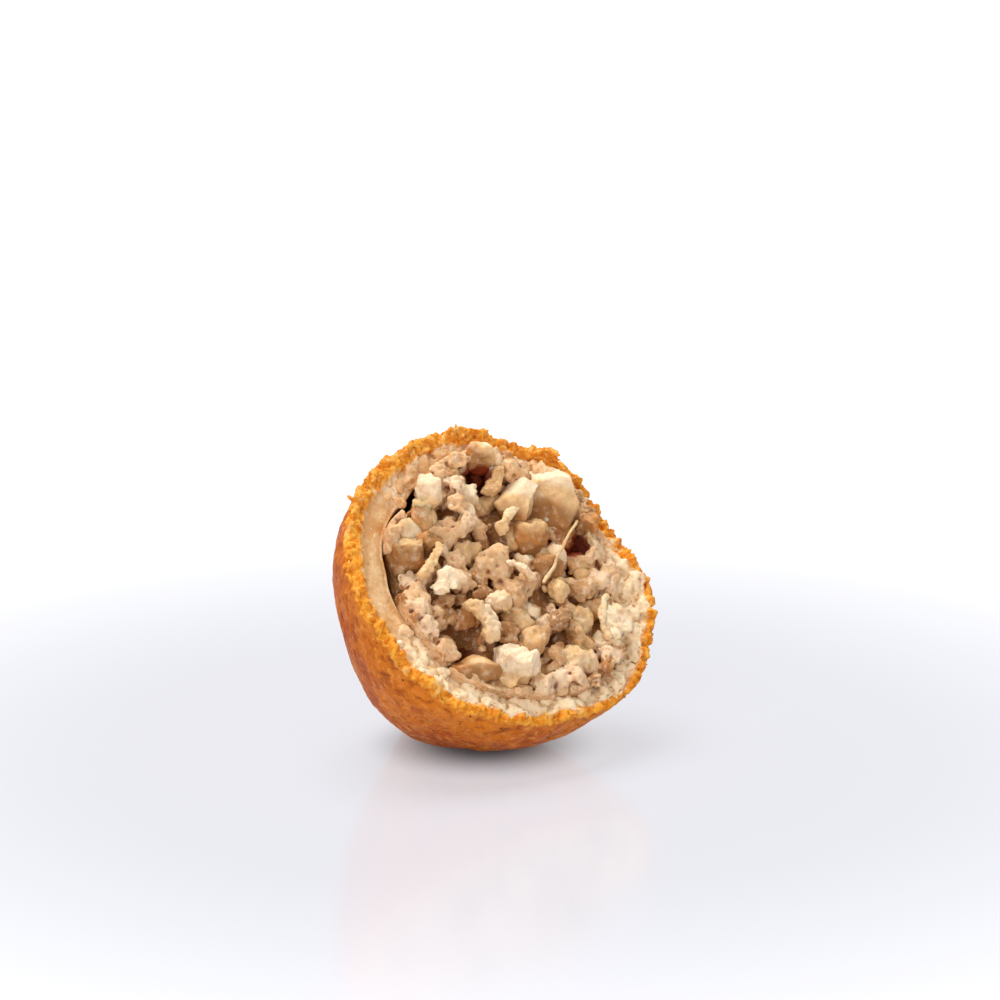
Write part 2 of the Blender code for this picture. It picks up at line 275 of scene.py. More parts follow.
def rimHeight(turn, share):
    spot = Vector((math.cos(turn), math.sin(turn), 0.0))
    wave = body["rimWave"] * noise.noise(spot * 2.6 + Vector((7.0, 0.0, 0.0)))
    crag = noise.noise(spot * 17.0 + Vector((0.0, 0.0, 3.0 * share)))
    fine = noise.noise(spot * 41.0 + Vector((0.0, 5.0, 6.0 * share)))
    calm = 1.0 - 0.85 * pressedSmooth(turn) * smooth(share * 2.5 - 0.3)
    tear = body["rimCrag"] * (crag + 0.7 * fine) * mix(1.0, 0.35, smooth(share * 2.0)) * calm
    tooth = 0.0
    for at, rise, halfWidth in body["teeth"]:
        away = awayFrom(turn, at) * body["faceLong"] / 2 / (halfWidth / 1000)
        tooth = max(tooth, rise / 1000 * math.exp(-away * away) * smooth(1.0 - 2.5 * share))
    return wave + tear + tooth - body["rimSlope"] * share


def doughPoint(turn, share, depth):
    # share 0 is the crust and 1 the hollow's wall
    radius = mix(outerRadius(turn, depth), cavityRadius(turn, depth), share)
    tear = smooth(1.0 - depth / body["cragDepth"])
    if share < 0.2:
        spot = Vector((math.cos(turn) * 30.0, math.sin(turn) * 30.0, depth * 1500.0))
        radius += 0.0007 * tear * noise.noise(spot)
    height = -depth + rimHeight(turn, share) * tear
    return Vector((radius * math.cos(turn), radius * math.sin(turn), height))


# The shell's skin, fine enough to carry the grains of the bulgur. Relief is in millimetres.
shellSkin = {
    "steps": 640,
    "rimRows": 36,
    "outerRows": 78,
    "innerRows": 16,  # down to where the filling hides the wall
    "shownDepth": 0.007,
    "hiddenRows": 5,
    "hollowShare": 0.74,  # of the face's width, in the plain form
    "reliefDepth": 5.5,  # further down, the hollow's wall stays plain
    "grain": 0.15,
    "grainSpan": 1.25,
    "swell": 0.26,
    "swellSpan": 3.4,
    "crack": 0.42,
    "crackSpan": 4.6,
    "crackWidth": 0.06,  # of the noise's value on both sides of 0
    "crackedSpan": 8.0,  # the size of the areas that have cracks
    "crustFine": 0.05,
    "tornRough": 0.42,
    "tornStep": 0.40,  # the dough is torn this much lower than the crust
    "smoothDough": 0.10,
    "smoothSpan": 2.6,
    "roughDough": 0.42,
    "roughSpan": 2.1,
    "wander": 0.7,  # how far the lines between crust, torn crust and dough stray
    "wanderSpan": 1.9,
    "smoothFrom": 124,  # degrees round the rim between which the dough is pressed smooth
    "smoothTo": 196,
    "tornWidth": (1.80, 0.60, 108, 0.25),  # mean, how much more at the top and its place, and ripple
}


def pressedSmooth(turn):
    # 1 where the dough ring is smooth, 0 where it is torn and granular
    middle = math.radians(0.5 * (shellSkin["smoothFrom"] + shellSkin["smoothTo"]))
    half = math.radians(0.5 * (shellSkin["smoothTo"] - shellSkin["smoothFrom"]))
    return smooth((half - abs(math.remainder(turn - middle, math.tau))) / 0.35 + 0.5)


def tornWidth(turn):
    # millimetres of torn crust seen on the face, widest at the top
    mean, more, top, ripple = shellSkin["tornWidth"]
    return mean + more * math.cos(turn - math.radians(top)) + ripple * math.sin(7.0 * turn)


def shellRows():
    # (share, depth) from the hollow's floor up its wall, over the rim and down the crust
    deep, shown = body["cavityDepth"], shellSkin["shownDepth"]
    hidden = [(1.0, deep * math.cos(math.radians(a))) for a in np.linspace(8, 66, shellSkin["hiddenRows"])]
    rows = shellSkin["innerRows"]
    inner = [(1.0, mix(shown, body["rimRound"], (i / rows) ** 0.8)) for i in range(rows)]
    rim = []
    for i in range(shellSkin["rimRows"] + 1):
        share = 1.0 - i / shellSkin["rimRows"]
        rim.append((share, body["rimRound"] * abs(2.0 * share - 1.0) ** 6))
    end = body["tipDepth"] * body["tipEnd"]
    outer = [(0.0, end * (i / shellSkin["outerRows"])) for i in range(1, shellSkin["outerRows"] + 1)]
    outer = [row for row in outer if row[1] > 1.5 * body["rimRound"]]
    return [row for row in hidden if row[1] > shown + 0.001] + inner + rim + outer


def addAttributes(piece, **values):
    for label, row in values.items():
        made = piece.data.attributes.new(label, "FLOAT", "POINT")
        made.data.foreach_set("value", np.asarray(row, np.float32))


def polyLine(path):
    # one point extruded along the path
    bpy.ops.object.select_all(action="DESELECT")
    bpy.ops.mesh.primitive_plane_add(size=0.001)
    bpy.ops.object.mode_set(mode="EDIT")
    bpy.ops.mesh.merge(type="CENTER")
    bpy.ops.transform.translate(value=path[0])
    for before, after in zip(path, path[1:]):
        step = [b - a for a, b in zip(before, after)]
        bpy.ops.mesh.extrude_region_move(TRANSFORM_OT_translate={"value": step})
    bpy.ops.object.mode_set(mode="OBJECT")
    return bpy.context.object


def spunSheet(name, profile, steps):
    # a line in the XZ plane, screwed round Z
    piece = polyLine([(x, 0, z) for x, z in profile])
    piece.name = name
    applyModifier(
        piece, "SCREW", angle=math.tau, steps=steps, render_steps=steps, use_merge_vertices=True,
        merge_threshold=0.000002, use_normal_calculate=True,
    )
    return piece


def doughRelief(spot, turn, way, inside):
    # how far the skin swells or sinks, in millimetres; way runs from the crust's side (below 0) over
    # the rim, and inside is how far down the hollow's wall
    skin = shellSkin
    fine, middle = noise.noise(spot / 0.75), noise.noise(spot / 1.5)
    crust = 0.0
    if way < 1.0:
        swell = skin["swell"] * noise.noise(spot / skin["swellSpan"])
        grains = skin["grain"] * (0.45 - noise.voronoi(spot / skin["grainSpan"])[0][0])
        line = abs(noise.noise(spot / skin["crackSpan"] + Vector((9.0, 3.0, 5.0))))
        cracked = smooth(3.0 * noise.noise(spot / skin["crackedSpan"] + Vector((1.0, 8.0, 2.0))))
        crack = skin["crack"] * cracked * smooth(1.0 - line / skin["crackWidth"])
        crust = swell + grains + skin["crustFine"] * fine - crack
    torn = skin["tornRough"] * (middle + 0.40 * fine + 0.2 * noise.noise(spot / 0.45))
    pressed = skin["smoothDough"] * (noise.noise(spot / skin["smoothSpan"]) + 0.4 * middle)
    lumpy = skin["roughDough"] * (1.2 * noise.noise(spot / skin["roughSpan"]) + 0.8 * middle + 0.5 * fine)
    dough = mix(lumpy, pressed, pressedSmooth(turn)) * (1.0 - 0.8 * smooth(inside / 2.0))
    dough -= skin["tornStep"] * (1.0 - smooth(inside / 0.5))
    wander = skin["wander"] * noise.noise(spot / skin["wanderSpan"])
    toTorn = smooth((way + wander + 1.1) / 0.8)
    toDough = smooth((way + wander - tornWidth(turn)) / 0.6)
    return mix(mix(crust, torn, toTorn), dough, toDough)


def plainWall(depth):
    # the plain form that the rows are spun to: radius of the crust and of the hollow
    t = min(1.0, depth / body["cavityDepth"])
    return faceHalf * taper(depth), faceHalf * shellSkin["hollowShare"] * math.sqrt(max(0.0, 1.0 - t ** 2))


def makeShell():
    profile = [(0.0, -body["cavityDepth"])]
    profile += [(mix(*plainWall(depth), share), -depth) for share, depth in shellRows()]
    profile.append((0.0, -body["tipDepth"] * (body["tipEnd"] + 1.0) / 2))
    shell = spunSheet("doughShell", profile, shellSkin["steps"])
    mesh = shell.data
    ways, insides, presses = [], [], []
    for vertex in mesh.vertices:
        x, y, z = vertex.co
        turn, depth = math.atan2(y, x), -z
        reach, (outer, inner) = math.hypot(x, y), plainWall(depth)
        share = 0.0
        if depth < body["cavityDepth"] + 0.00001:
            share = min(1.0, max(0.0, (outer - reach) / max(1e-9, outer - inner)))
        if min(share, 1.0 - share) < 0.001:
            share = round(share)
        wall = outerRadius(turn, 0.0) - cavityRadius(turn, 0.0)
        down = max(0.0, depth - body["rimRound"])
        ways.append(share * wall * 1000 if share > 0.0 else -down * 1000)
        insides.append(down * 1000 if share > 0.5 else 0.0)
        presses.append(pressedSmooth(turn))
        if reach > 0.00001:
            vertex.co = doughPoint(turn, share, depth)
    mesh.update()
    moved = []
    for vertex, way, inside in zip(mesh.vertices, ways, insides):
        turn = math.atan2(vertex.co.y, vertex.co.x)
        shown = inside < shellSkin["reliefDepth"]
        relief = doughRelief(vertex.co * 1000, turn, way, inside) if shown else 0.0
        moved.append(vertex.co + vertex.normal * relief / 1000)
    placed = layDown([tuple(p) for p in moved])
    # the flat spot that it lies on
    placed[:, 2] = np.maximum(placed[:, 2], 0.0)
    mesh.vertices.foreach_set("co", placed.astype(np.float32).ravel())
    widths = [tornWidth(math.atan2(v.y, v.x)) for v in moved]
    addAttributes(shell, edgeWay=ways, wallDepth=insides, pressed=presses, tornWidth=widths)
    mesh.update()
    bpy.ops.object.shade_smooth()
    return shell


doughShell = makeShell()
print("dough shell", len(doughShell.data.polygons), "faces")

# Filling: the same heap as the solids. Metres, degrees; the hollows and the largest pieces are in
# millimetres.
heap = {
    "clearance": 0.0004,
    "levelGapSide": -0.0019,
    "levelFarSide": -0.0006,
    "lump": 0.0012,
    "lumpSpan": 0.0046,
    "gapTurn": 160.0,
    "gapWidth": 0.0013,
    "gapDepth": 0.0100,
    "gapOpening": 0.0019,
    "gapsOpen": ((123, 11), (166, 13)),  # where the dark gap still shows, and half its width
    "hollows": (
        # place, radius, depth
        (4.0, 16.6, 3.0, 5.4),
        (15.3, 2.2, 2.2, 4.6),
        (-10.8, -7.0, 2.6, 4.0),
        (-10.6, -10.0, 1.8, 2.6),
        (2.7, 6.5, 2.0, 3.4),
        (7.9, 3.2, 2.0, 2.8),
        (3.2, -11.0, 1.8, 3.4),
        (-14.2, 7.6, 2.6, 2.6),
    ),
    # the largest pieces: place, rise, length, width, thickness, turn
    "large": (
        (15.8, 10.4, 1.6, 13.6, 9.8, 6.6, 60),
        (7.0, 21.4, 1.6, 6.4, 4.4, 3.6, 12),
        (-6.8, 15.2, 1.0, 7.0, 5.6, 4.6, 100),
        (-2.8, 11.0, 0.8, 7.4, 5.4, 4.2, 95),
        (10.0, 12.8, 1.4, 6.4, 4.0, 3.8, 75),
        (6.2, 9.6, 1.2, 5.4, 2.8, 2.8, 70),
        (-11.2, 5.4, 1.0, 6.0, 2.4, 2.2, 55),
        (-10.4, 1.4, 0.8, 6.6, 5.2, 3.6, 100),
        (-0.8, 2.0, 1.0, 7.4, 5.6, 4.2, 15),
        (-15.4, -1.2, 0.5, 6.4, 5.0, 3.4, 120),
        (-4.4, -14.2, 1.2, 8.0, 6.2, 4.8, 30),
        (-11.8, -13.8, 0.6, 7.2, 4.0, 3.0, -5),
        (-6.2, -6.6, 1.0, 5.6, 3.6, 3.8, 80),
        (8.4, -12.2, 0.5, 6.4, 5.0, 3.6, 120),
        (15.6, -12.0, 1.0, 6.4, 4.6, 4.0, 75),
        (10.6, 6.8, 0.0, 6.2, 4.8, 3.4, 20),
        (-13.6, 6.6, -1.0, 6.2, 4.6, 3.6, 20),
    ),
    "medium": (74, 0.0032, 0.0050),  # how many at most, and their sizes
    "small": (120, 0.0020, 0.0030),
    "apart": 0.36,  # of two sizes together, how far pieces stay from each other
    "seed": 13,
}


def heapBase(x, y):
    # the heap's slope without its lumps and hollows
    gap = math.radians(heap["gapTurn"])
    along = (x * math.cos(gap) + y * math.sin(gap)) / faceHalf
    return mix(heap["levelFarSide"], heap["levelGapSide"], smooth(0.5 + 0.6 * along))


def heapLevel(x, y):
    span = heap["lumpSpan"]
    level = heapBase(x, y) + heap["lump"] * noise.noise(Vector((x / span, y / span, 4.0)))
    for placeX, placeY, radius, depth in heap["hollows"]:
        away = math.hypot(x * 1000 - placeX, y * 1000 - placeY) / radius
        level -= depth / 1000 * math.exp(-away * away)
    return level


def clearOfWall(turn, depth, gap):
    gap *= smooth(1.0 - depth / heap["gapDepth"])
    return max(0.0, cavityRadius(turn, depth + heap["clearance"]) - heap["clearance"] - gap)


def heapRadius(turn, depth):
    ways = [math.degrees(awayFrom(turn, at)) / half for at, half in heap["gapsOpen"]]
    side = max(math.exp(-away * away) for away in ways)
    return clearOfWall(turn, depth, heap["gapOpening"] * side)


def spotReach(turn, depth):
    # the solids' own heap radius, so that the draws below fall as they did there
    side = smooth(1.35 * math.cos(turn - math.radians(heap["gapTurn"])) - 0.35)
    return clearOfWall(turn, depth, heap["gapWidth"] * side)


def inHollow(x, y, share, hollows):
    return any(math.hypot(x * 1000 - a, y * 1000 - b) < share * radius for a, b, radius, _ in hollows)


def pieceSpots():
    # the places, sizes and turns of the solids' own pieces, drawn in the same order
    draw = random.Random(heap["seed"])
    spots, taken = [], []

    def spot(grade, place, size, turn, corners):
        tilt = rotated("XY", draw.uniform(-0.6, 0.6), draw.uniform(-0.6, 0.6))
        for _ in range(corners):
            draw.uniform(0.80, 1.16)
        spots.append((grade, place, size, rotated("Z", turn) @ tilt))

    for x, y, rise, longWay, wide, thick, turn in heap["large"]:
        x, y, rise = x / 1000, y / 1000, rise / 1000
        size = (longWay / 1000, wide / 1000, thick / 1000)
        spot("large", Vector((x, y, heapLevel(x, y) + rise)), size, math.radians(turn), 42)
        taken.append((x, y, 0.5 * (size[0] + size[1])))
    golden = math.pi * (3.0 - math.sqrt(5.0))
    for grade in ("medium", "small"):
        count, low, high = heap[grade]
        made = 0
        for i in range(count * 2):
            share = math.sqrt((i + 0.5) / (count * 1.35))
            if made == count or share > 1.0:
                break
            turn = i * golden + draw.uniform(-0.2, 0.2)
            size = draw.uniform(low, high)
            reach = share * (spotReach(turn, 0.002) - 0.3 * size)
            x, y = reach * math.cos(turn), reach * math.sin(turn)
            if any(math.hypot(x - a, y - b) < heap["apart"] * (c + size) for a, b, c in taken):
                continue
            if inHollow(x, y, 0.8, heap["hollows"]):
                continue
            rise = draw.uniform(0.02, 0.34) * size
            place = Vector((x, y, heapLevel(x, y) + rise))
            shape = [size * draw.uniform(*span) for span in ((1.0, 1.5), (0.8, 1.1), (0.6, 0.95))]
            spot(grade, place, shape, draw.uniform(0.0, math.tau), 12)
            taken.append((x, y, size))
            made += 1
    return spots


# The room inside the dough, looked up by turn and depth
roomSteps, roomDepths, roomStep = 360, 54, 0.0005
room = np.array([
    [heapRadius(math.radians(t * 360 / roomSteps), d * roomStep) for d in range(roomDepths)]
    for t in range(roomSteps)
])


def roomAt(turns, depths):
    column = (turns / math.tau % 1.0) * roomSteps
    row = np.clip(depths / roomStep, 0, roomDepths - 1.001)
    left, low = column.astype(int) % roomSteps, row.astype(int)
    across, down = column - column.astype(int), row - low
    after = (left + 1) % roomSteps
    upper = room[left, low] * (1 - across) + room[after, low] * across
    lower = room[left, low + 1] * (1 - across) + room[after, low + 1] * across
    return upper * (1 - down) + lower * down


overRim = {"from": 0.0004, "slope": 1.6, "most": 0.0020}  # metres: how far pieces lean out above the rim


def heldInside(points, overlap):
    # no point reaches further than overlap into the dough, unless it stands clear above the rim
    reach = np.maximum(1e-9, np.hypot(points[:, 0], points[:, 1]))
    limit = roomAt(np.arctan2(points[:, 1], points[:, 0]), np.maximum(0.0, -points[:, 2])) + overlap
    limit = limit + np.clip(overRim["slope"] * (points[:, 2] - overRim["from"]), 0.0, overRim["most"])
    share = np.minimum(1.0, limit / reach)
    return points * np.stack([share, share, np.ones(len(share))], 1)


def topPoint(x, y, drop, rough):
    # x and y on a disc as wide as the face become a point on the heap's top
    turn, share = math.atan2(y, x), math.hypot(x, y) / faceHalf
    reach = heapRadius(turn, -heapLevel(x * 0.75, y * 0.75)) * share
    placeX, placeY = reach * math.cos(turn), reach * math.sin(turn)
    level = heapLevel(placeX, placeY)
    spot = Vector((placeX, placeY, level)) * 1000
    relief = rough * (noise.noise(spot / 1.9) + 0.4 * noise.noise(spot / 0.8))
    return placeX, placeY, level + (relief - drop) / 1000


# Core of the filling, the form of the solid: cooked mince pressed together
core = {
    "rings": 40,
    "sideRows": 26,
    "steps": 150,
    "rough": 0.30,  # millimetres
    "drop": 1.0,  # under the solid's own level, which its pieces stand on
    "sideDent": 0.0003,
    "sideSpan": 1.6,
    "edgeShare": 0.72,  # where the level is read for the core's rim
}


def makeCore():
    foot = body["cavityDepth"] - heap["clearance"]
    outer = faceHalf
    top = [(outer * i / core["rings"], 0.0) for i in range(core["rings"] + 1)]
    side = []
    for i in range(1, core["sideRows"]):
        angle = math.radians(86 * (i / core["sideRows"]) ** 1.5)
        side.append((outer * math.cos(angle), -foot * math.sin(angle)))
    piece = spunSheet("minceCore", list(reversed(top + side + [(0.0, -foot)])), core["steps"])
    mesh = piece.data
    moved = []
    for vertex in mesh.vertices:
        x, y, z = vertex.co
        turn, share = math.atan2(y, x), math.hypot(x, y) / outer
        if z > -1e-6:
            moved.append(topPoint(x, y, core["drop"], core["rough"]))
            continue
        near = outer * core["edgeShare"]
        edge = heapLevel(near * math.cos(turn), near * math.sin(turn))
        depth = mix(-edge + heap["clearance"], foot, -z / foot)
        reach = heapRadius(turn, depth) if share > 1e-6 else 0.0
        spot = Vector((reach * math.cos(turn), reach * math.sin(turn), -depth)) * 1000
        reach = max(0.0, reach - core["sideDent"] * abs(noise.noise(spot / core["sideSpan"])))
        moved.append((reach * math.cos(turn), reach * math.sin(turn), -depth))
    mesh.vertices.foreach_set("co", layDown(moved).astype(np.float32).ravel())
    mesh.update()
    bpy.ops.object.shade_smooth()
    return piece


minceCore = makeCore()
print("core of mince", len(minceCore.data.polygons), "faces")

# Shapes that the pieces are copied from, one unit across. Cuts are flat breaks; swell and
# rough are how lumpy and how crumbly the surface is.
lumpShapes = {
    "nut": {"cuts": 7, "reach": (0.24, 0.40), "swell": 0.16, "rough": 0.060, "rounding": 1, "count": 8},
    "mince": {"cuts": 6, "reach": (0.26, 0.40), "swell": 0.24, "rough": 0.100, "rounding": 1, "count": 6},
    "crumb": {"cuts": 4, "reach": (0.28, 0.40), "swell": 0.30, "rough": 0.10, "rounding": 0, "count": 5},
}
voxels = {"fine": 0.040, "middle": 0.075, "coarse": 0.135, "crumb": 0.28}  # larger for smaller pieces


def cloudTexture(name, size, depth):
    made = bpy.data.textures.new(name, "CLOUDS")
    made.noise_scale = size
    made.noise_depth = depth
    return made


def takeMesh(piece):
    # its points and triangles as arrays; the object goes
    piece.data.calc_loop_triangles()
    points = np.array([v.co for v in piece.data.vertices])
    corners = np.array([t.vertices for t in piece.data.loop_triangles])
    mesh = piece.data
    bpy.data.objects.remove(piece, do_unlink=True)
    bpy.data.meshes.remove(mesh)
    return points, corners


def cutLump(shape, number, voxel, radius, breaks):
    # a ball with flat breaks, closed again by a voxel remesh, then swollen and roughened
    bpy.ops.object.select_all(action="DESELECT")
    bpy.ops.mesh.primitive_ico_sphere_add(subdivisions=4, radius=radius)
    piece = bpy.context.object
    bpy.ops.object.mode_set(mode="EDIT")
    for x, y, z, reach in breaks:
        away = Vector((x, y, z)).normalized()
        bpy.ops.mesh.select_all(action="SELECT")
        bpy.ops.mesh.bisect(plane_co=away * reach, plane_no=away, clear_outer=True, use_fill=True)
    bpy.ops.mesh.select_all(action="SELECT")
    bpy.ops.mesh.normals_make_consistent(inside=False)
    bpy.ops.object.mode_set(mode="OBJECT")
    applyModifier(piece, "REMESH", mode="VOXEL", voxel_size=voxel)
    if shape["rounding"]:
        applyModifier(piece, "SMOOTH", factor=0.5, iterations=shape["rounding"])
    # each lump reads another part of the clouds
    piece.location = (6.1 * radius * number, 3.3 * radius * number, 0.9)
    for label, size in (("swell", 0.68), ("rough", 0.24)):
        applyModifier(
            piece, "DISPLACE", texture=cloudTexture(label, size * radius, 1), texture_coords="GLOBAL",
            strength=shape[label] * radius * 4, mid_level=0.5,
        )
    return takeMesh(piece)


def unitLump(kind, number, voxel):
    shape = lumpShapes[kind]
    draw = random.Random(100 * number + sum(map(ord, kind)))
    breaks = []
    for _ in range(shape["cuts"]):
        away = Vector((draw.gauss(0, 1), draw.gauss(0, 1), draw.gauss(0, 1))).normalized()
        breaks.append((*away, draw.uniform(*shape["reach"])))
    points, corners = cutLump(shape, number, voxel, 0.5, breaks)
    low, high = points.min(0), points.max(0)
    return (points - (low + high) / 2) / (high - low), corners


lumps = {}
for grade, voxel in voxels.items():
    for kind, shape in lumpShapes.items():
        if (grade == "crumb") == (kind == "crumb"):
            lumps[grade, kind] = [unitLump(kind, number, voxel) for number in range(shape["count"])]
print("lump shapes", {f"{a} {b}": len(v[0][1]) for (a, b), v in lumps.items()})

lumpyShape = {"swell": 0.085, "rough": 0.035, "rounding": 1}
slabShape = {"swell": 0.016, "rough": 0.010, "rounding": 1}

# Pieces with a shape of their own, in millimetres. place is in the half's own frame; each break
# is a direction there and how far out it is, and the lit side is where painted light gives a lighter tone.
# Towards the camera is about (-0.6, -0.3, 0.75), straight up about (0, 0.76, 0.65).
shapedLumps = {
    "slab": {
        "number": 0, "place": (14.9, 10.8, 1.6), "radius": 12.0, "voxel": 0.30, "tone": 0.70,
        "paintedLightSide": (0.55, 0.75, 0.2),
        "breaks": (
            (-0.64, -0.34, 0.69, 1.7), (-0.10, 0.78, 0.62, 3.2), (0.92, 0.10, 0.38, 2.6),
            (-0.80, 0.58, 0.0, 4.2), (-0.62, -0.78, 0.0, 4.6), (0, 0, -1, 3.4), (0.60, -0.78, 0.2, 4.2),
        ),
    },
    "upperChunk": {
        "number": 1, "place": (5.4, 20.4, 0.9), "radius": 3.4, "voxel": 0.22, "tone": 0.30,
        "paintedLightSide": (0.8, 0.5, 0.3),
        "breaks": (
            (-0.85, -0.1, 0.5, 1.7), (0.2, 0.72, 0.66, 1.6), (-0.1, -0.95, 0.3, 1.7), (0.95, -0.1, 0.3, 1.9),
            (0.3, -0.2, 0.93, 1.9), (-0.7, 0.7, 0.1, 2.2),
        ),
    },
    "whiteLump": {
        "number": 10, "place": (-5.2, -14.8, 1.3), "radius": 4.6, "voxel": 0.24, "tone": 0.95,
        "shape": lumpyShape,
        "breaks": (
            (-0.6, -0.35, 0.72, 2.3), (0.1, 0.80, 0.60, 2.1), (0.9, 0.3, 0.3, 2.9), (-0.9, 0.3, 0.2, 2.7),
            (0.2, -0.95, 0.2, 2.6), (0.5, -0.5, 0.7, 2.7), (-0.3, 0.3, 0.9, 2.3),
        ),
    },
    "paleBlock": {
        "number": 4, "place": (-7.6, 15.9, 0.8), "radius": 4.6, "voxel": 0.24, "tone": 0.92,
        "paintedLightSide": (0.3, 0.8, 0.4),
        "shape": {"swell": 0.12, "rough": 0.050, "rounding": 1},
        "breaks": (
            (-0.62, -0.40, 0.68, 1.9), (0.05, 0.80, 0.60, 2.4), (0.9, 0.3, 0.3, 2.5), (-0.9, 0.4, 0.1, 2.6),
            (0.3, -0.95, 0.1, 2.7), (-0.3, 0.5, 0.8, 2.4), (0.7, -0.5, 0.5, 2.4),
        ),
    },
    "paleFinger": {
        "number": 7, "place": (8.6, 11.6, 1.9), "radius": 4.2, "voxel": 0.22, "tone": 0.78,
        "paintedLightSide": (0.5, 0.7, 0.4),
        "breaks": (
            (-0.60, -0.10, 0.79, 1.5), (0.65, 0.70, 0.30, 3.3), (-0.70, -0.65, 0.2, 3.2),
            (0.65, -0.70, 0.30, 1.7), (-0.50, 0.80, 0.3, 1.8), (0.2, 0.2, 0.95, 1.7),
        ),
    },
    "flatGrey": {
        "number": 11, "place": (-12.3, -14.4, 0.2), "radius": 3.9, "voxel": 0.26, "tone": -0.20,
        "breaks": (
            (-0.5, -0.5, 0.70, 1.1), (0.0, 0.75, 0.66, 1.4), (0.95, 0.1, 0.2, 3.2), (-0.95, 0.1, 0.2, 3.0),
            (0, -1, 0.1, 1.9), (0, 0, -1, 1.8),
        ),
    },
    # its dark tone is painted shade, for the shade on the filling's left side
    "shadedChunk": {
        "number": 16, "place": (-14.6, 6.9, -0.8), "radius": 3.8, "voxel": 0.26, "tone": -0.25,
        "shape": lumpyShape,
        "breaks": (
            (-0.6, -0.45, 0.65, 1.7), (0.1, 0.75, 0.66, 1.9), (0.9, -0.2, 0.3, 2.9), (-0.9, 0.3, 0.1, 2.8),
            (0.1, -1, 0.1, 2.3), (0.5, -0.6, 0.6, 2.3),
        ),
    },
    "greyLump": {
        "number": 15, "place": (8.2, 5.6, 0.0), "radius": 3.1, "voxel": 0.24, "tone": -0.15,
        "shape": lumpyShape,
        "breaks": (
            (-0.45, -0.35, 0.82, 1.6), (0.0, 0.8, 0.6, 2.2), (0.95, 0.0, 0.3, 2.9), (-0.95, 0.2, 0.2, 2.9),
            (0, -1, 0.2, 2.3),
        ),
    },
}


warp = {"coarse": (0.0034, 0.00055), "fine": (0.0013, 0.00016)}  # metres: span and reach


def warped(points):
    # one bend of space for all pieces, so that none stays a plain pebble and neighbours still fit
    out = points.copy()
    for number, (span, reach) in enumerate(warp.values()):
        shift = Vector((3.0 * number, 7.0, 1.0))
        out += reach * np.array([noise.noise_vector(Vector(p) / span + shift) for p in points])
    return out


def placedLump(lump, place, size, turn, overlap):
    points = (lump[0] * np.array(size)) @ np.array(turn).T + np.array(place)
    return points if overlap is None else heldInside(warped(points), overlap)


def stackMeshes(parts):
    points, corners, start = [], [], 0
    for some, those in parts:
        points.append(some)
        corners.append(those + start)
        start += len(some)
    return np.concatenate(points), np.concatenate(corners)


def meshPiece(name, points, corners):
    mesh = bpy.data.meshes.new(name)
    mesh.vertices.add(len(points))
    mesh.vertices.foreach_set("co", np.asarray(points, np.float32).ravel())
    mesh.loops.add(len(corners) * 3)
    mesh.loops.foreach_set("vertex_index", np.asarray(corners, np.int32).ravel())
    mesh.polygons.add(len(corners))
    mesh.polygons.foreach_set("loop_start", np.arange(0, len(corners) * 3, 3, dtype=np.int32))
    mesh.update(calc_edges=True)
    mesh.validate()
    mesh.shade_smooth()
    piece = bpy.data.objects.new(name, mesh)
    bpy.context.scene.collection.objects.link(piece)
    return piece


def hollowness(mesh, points, rounds=16):
    # how deep a point lies under its neighbourhood, in millimetres: above 0 in a crevice, where the materials
    # paint shade
    edges = np.empty(len(mesh.edges) * 2, np.int32)
    mesh.edges.foreach_get("vertices", edges)
    edges = edges.reshape(-1, 2)
    ways = np.empty(len(points) * 3, np.float32)
    mesh.vertices.foreach_get("normal", ways)
    count = np.bincount(edges.ravel(), minlength=len(points)).clip(1)
    eased = points.copy()
    for _ in range(rounds):
        total = np.stack([
            np.bincount(edges[:, 0], eased[edges[:, 1], axis], len(points))
            + np.bincount(edges[:, 1], eased[edges[:, 0], axis], len(points))
            for axis in range(3)
        ], 1)
        eased = 0.3 * eased + 0.7 * total / count[:, None]
    return ((eased - points) * ways.reshape(-1, 3)).sum(1) * 1000


def separatePieces(name, copies, overlap):
    # copies: (lump, place, size, turn, tone, and the lit side); a given lit side gets painted light, a much
    # lighter tone, and the others are a little lighter on a side drawn at random
    parts, tones, sunk = [], [], []
    for number, (lump, place, size, turn, tone, *paintedLitSide) in enumerate(copies):
        points = placedLump(lump, place, size, turn, overlap)
        parts.append((points, lump[1]))
        side = paintedLitSide[0] if paintedLitSide else (math.sin(2.4 * number), math.cos(2.4 * number), 0.5)
        middle = points.mean(0)
        ways = (points - middle) / np.maximum(1e-9, np.linalg.norm(points - middle, axis=1))[:, None]
        toward = ways @ (np.array(side) / np.linalg.norm(side))
        # painted light: a shaped piece's lit side is made much lighter; on the other pieces a random side is a
        # little lighter
        tones.append(tone + (0.8 if paintedLitSide else 0.2) * toward)
        # sunk: how far below the heap's level a point lies, which the filling's material darkens as painted
        # shade
        sunk.append(1000 * (heapBase(middle[0], middle[1]) - points[:, 2]))
    points, corners = stackMeshes(parts)
    piece = meshPiece(name, layDown(points), corners)
    addAttributes(piece, tone=np.concatenate(tones), sunk=np.concatenate(sunk))
    return piece


# How each of the largest pieces looks: kind, tone (0 tan, 1 cream), tilt about its length and width
largeLooks = (
    ("slab",),
    ("upperChunk",),
    ("paleBlock",),
    ("path",),
    ("paleFinger",),
    ("path",),
    ("path",),
    ("path",),
    ("mince", 0.66, 0, 0),
    ("mince", 0.60, 0, 0),
    ("whiteLump",),
    ("flatGrey",),
    ("path",),
    ("nut", 0.30, 12, 0),
    ("nut", 0.95, 0, 12),
    ("greyLump",),
    ("shadedChunk",),
)

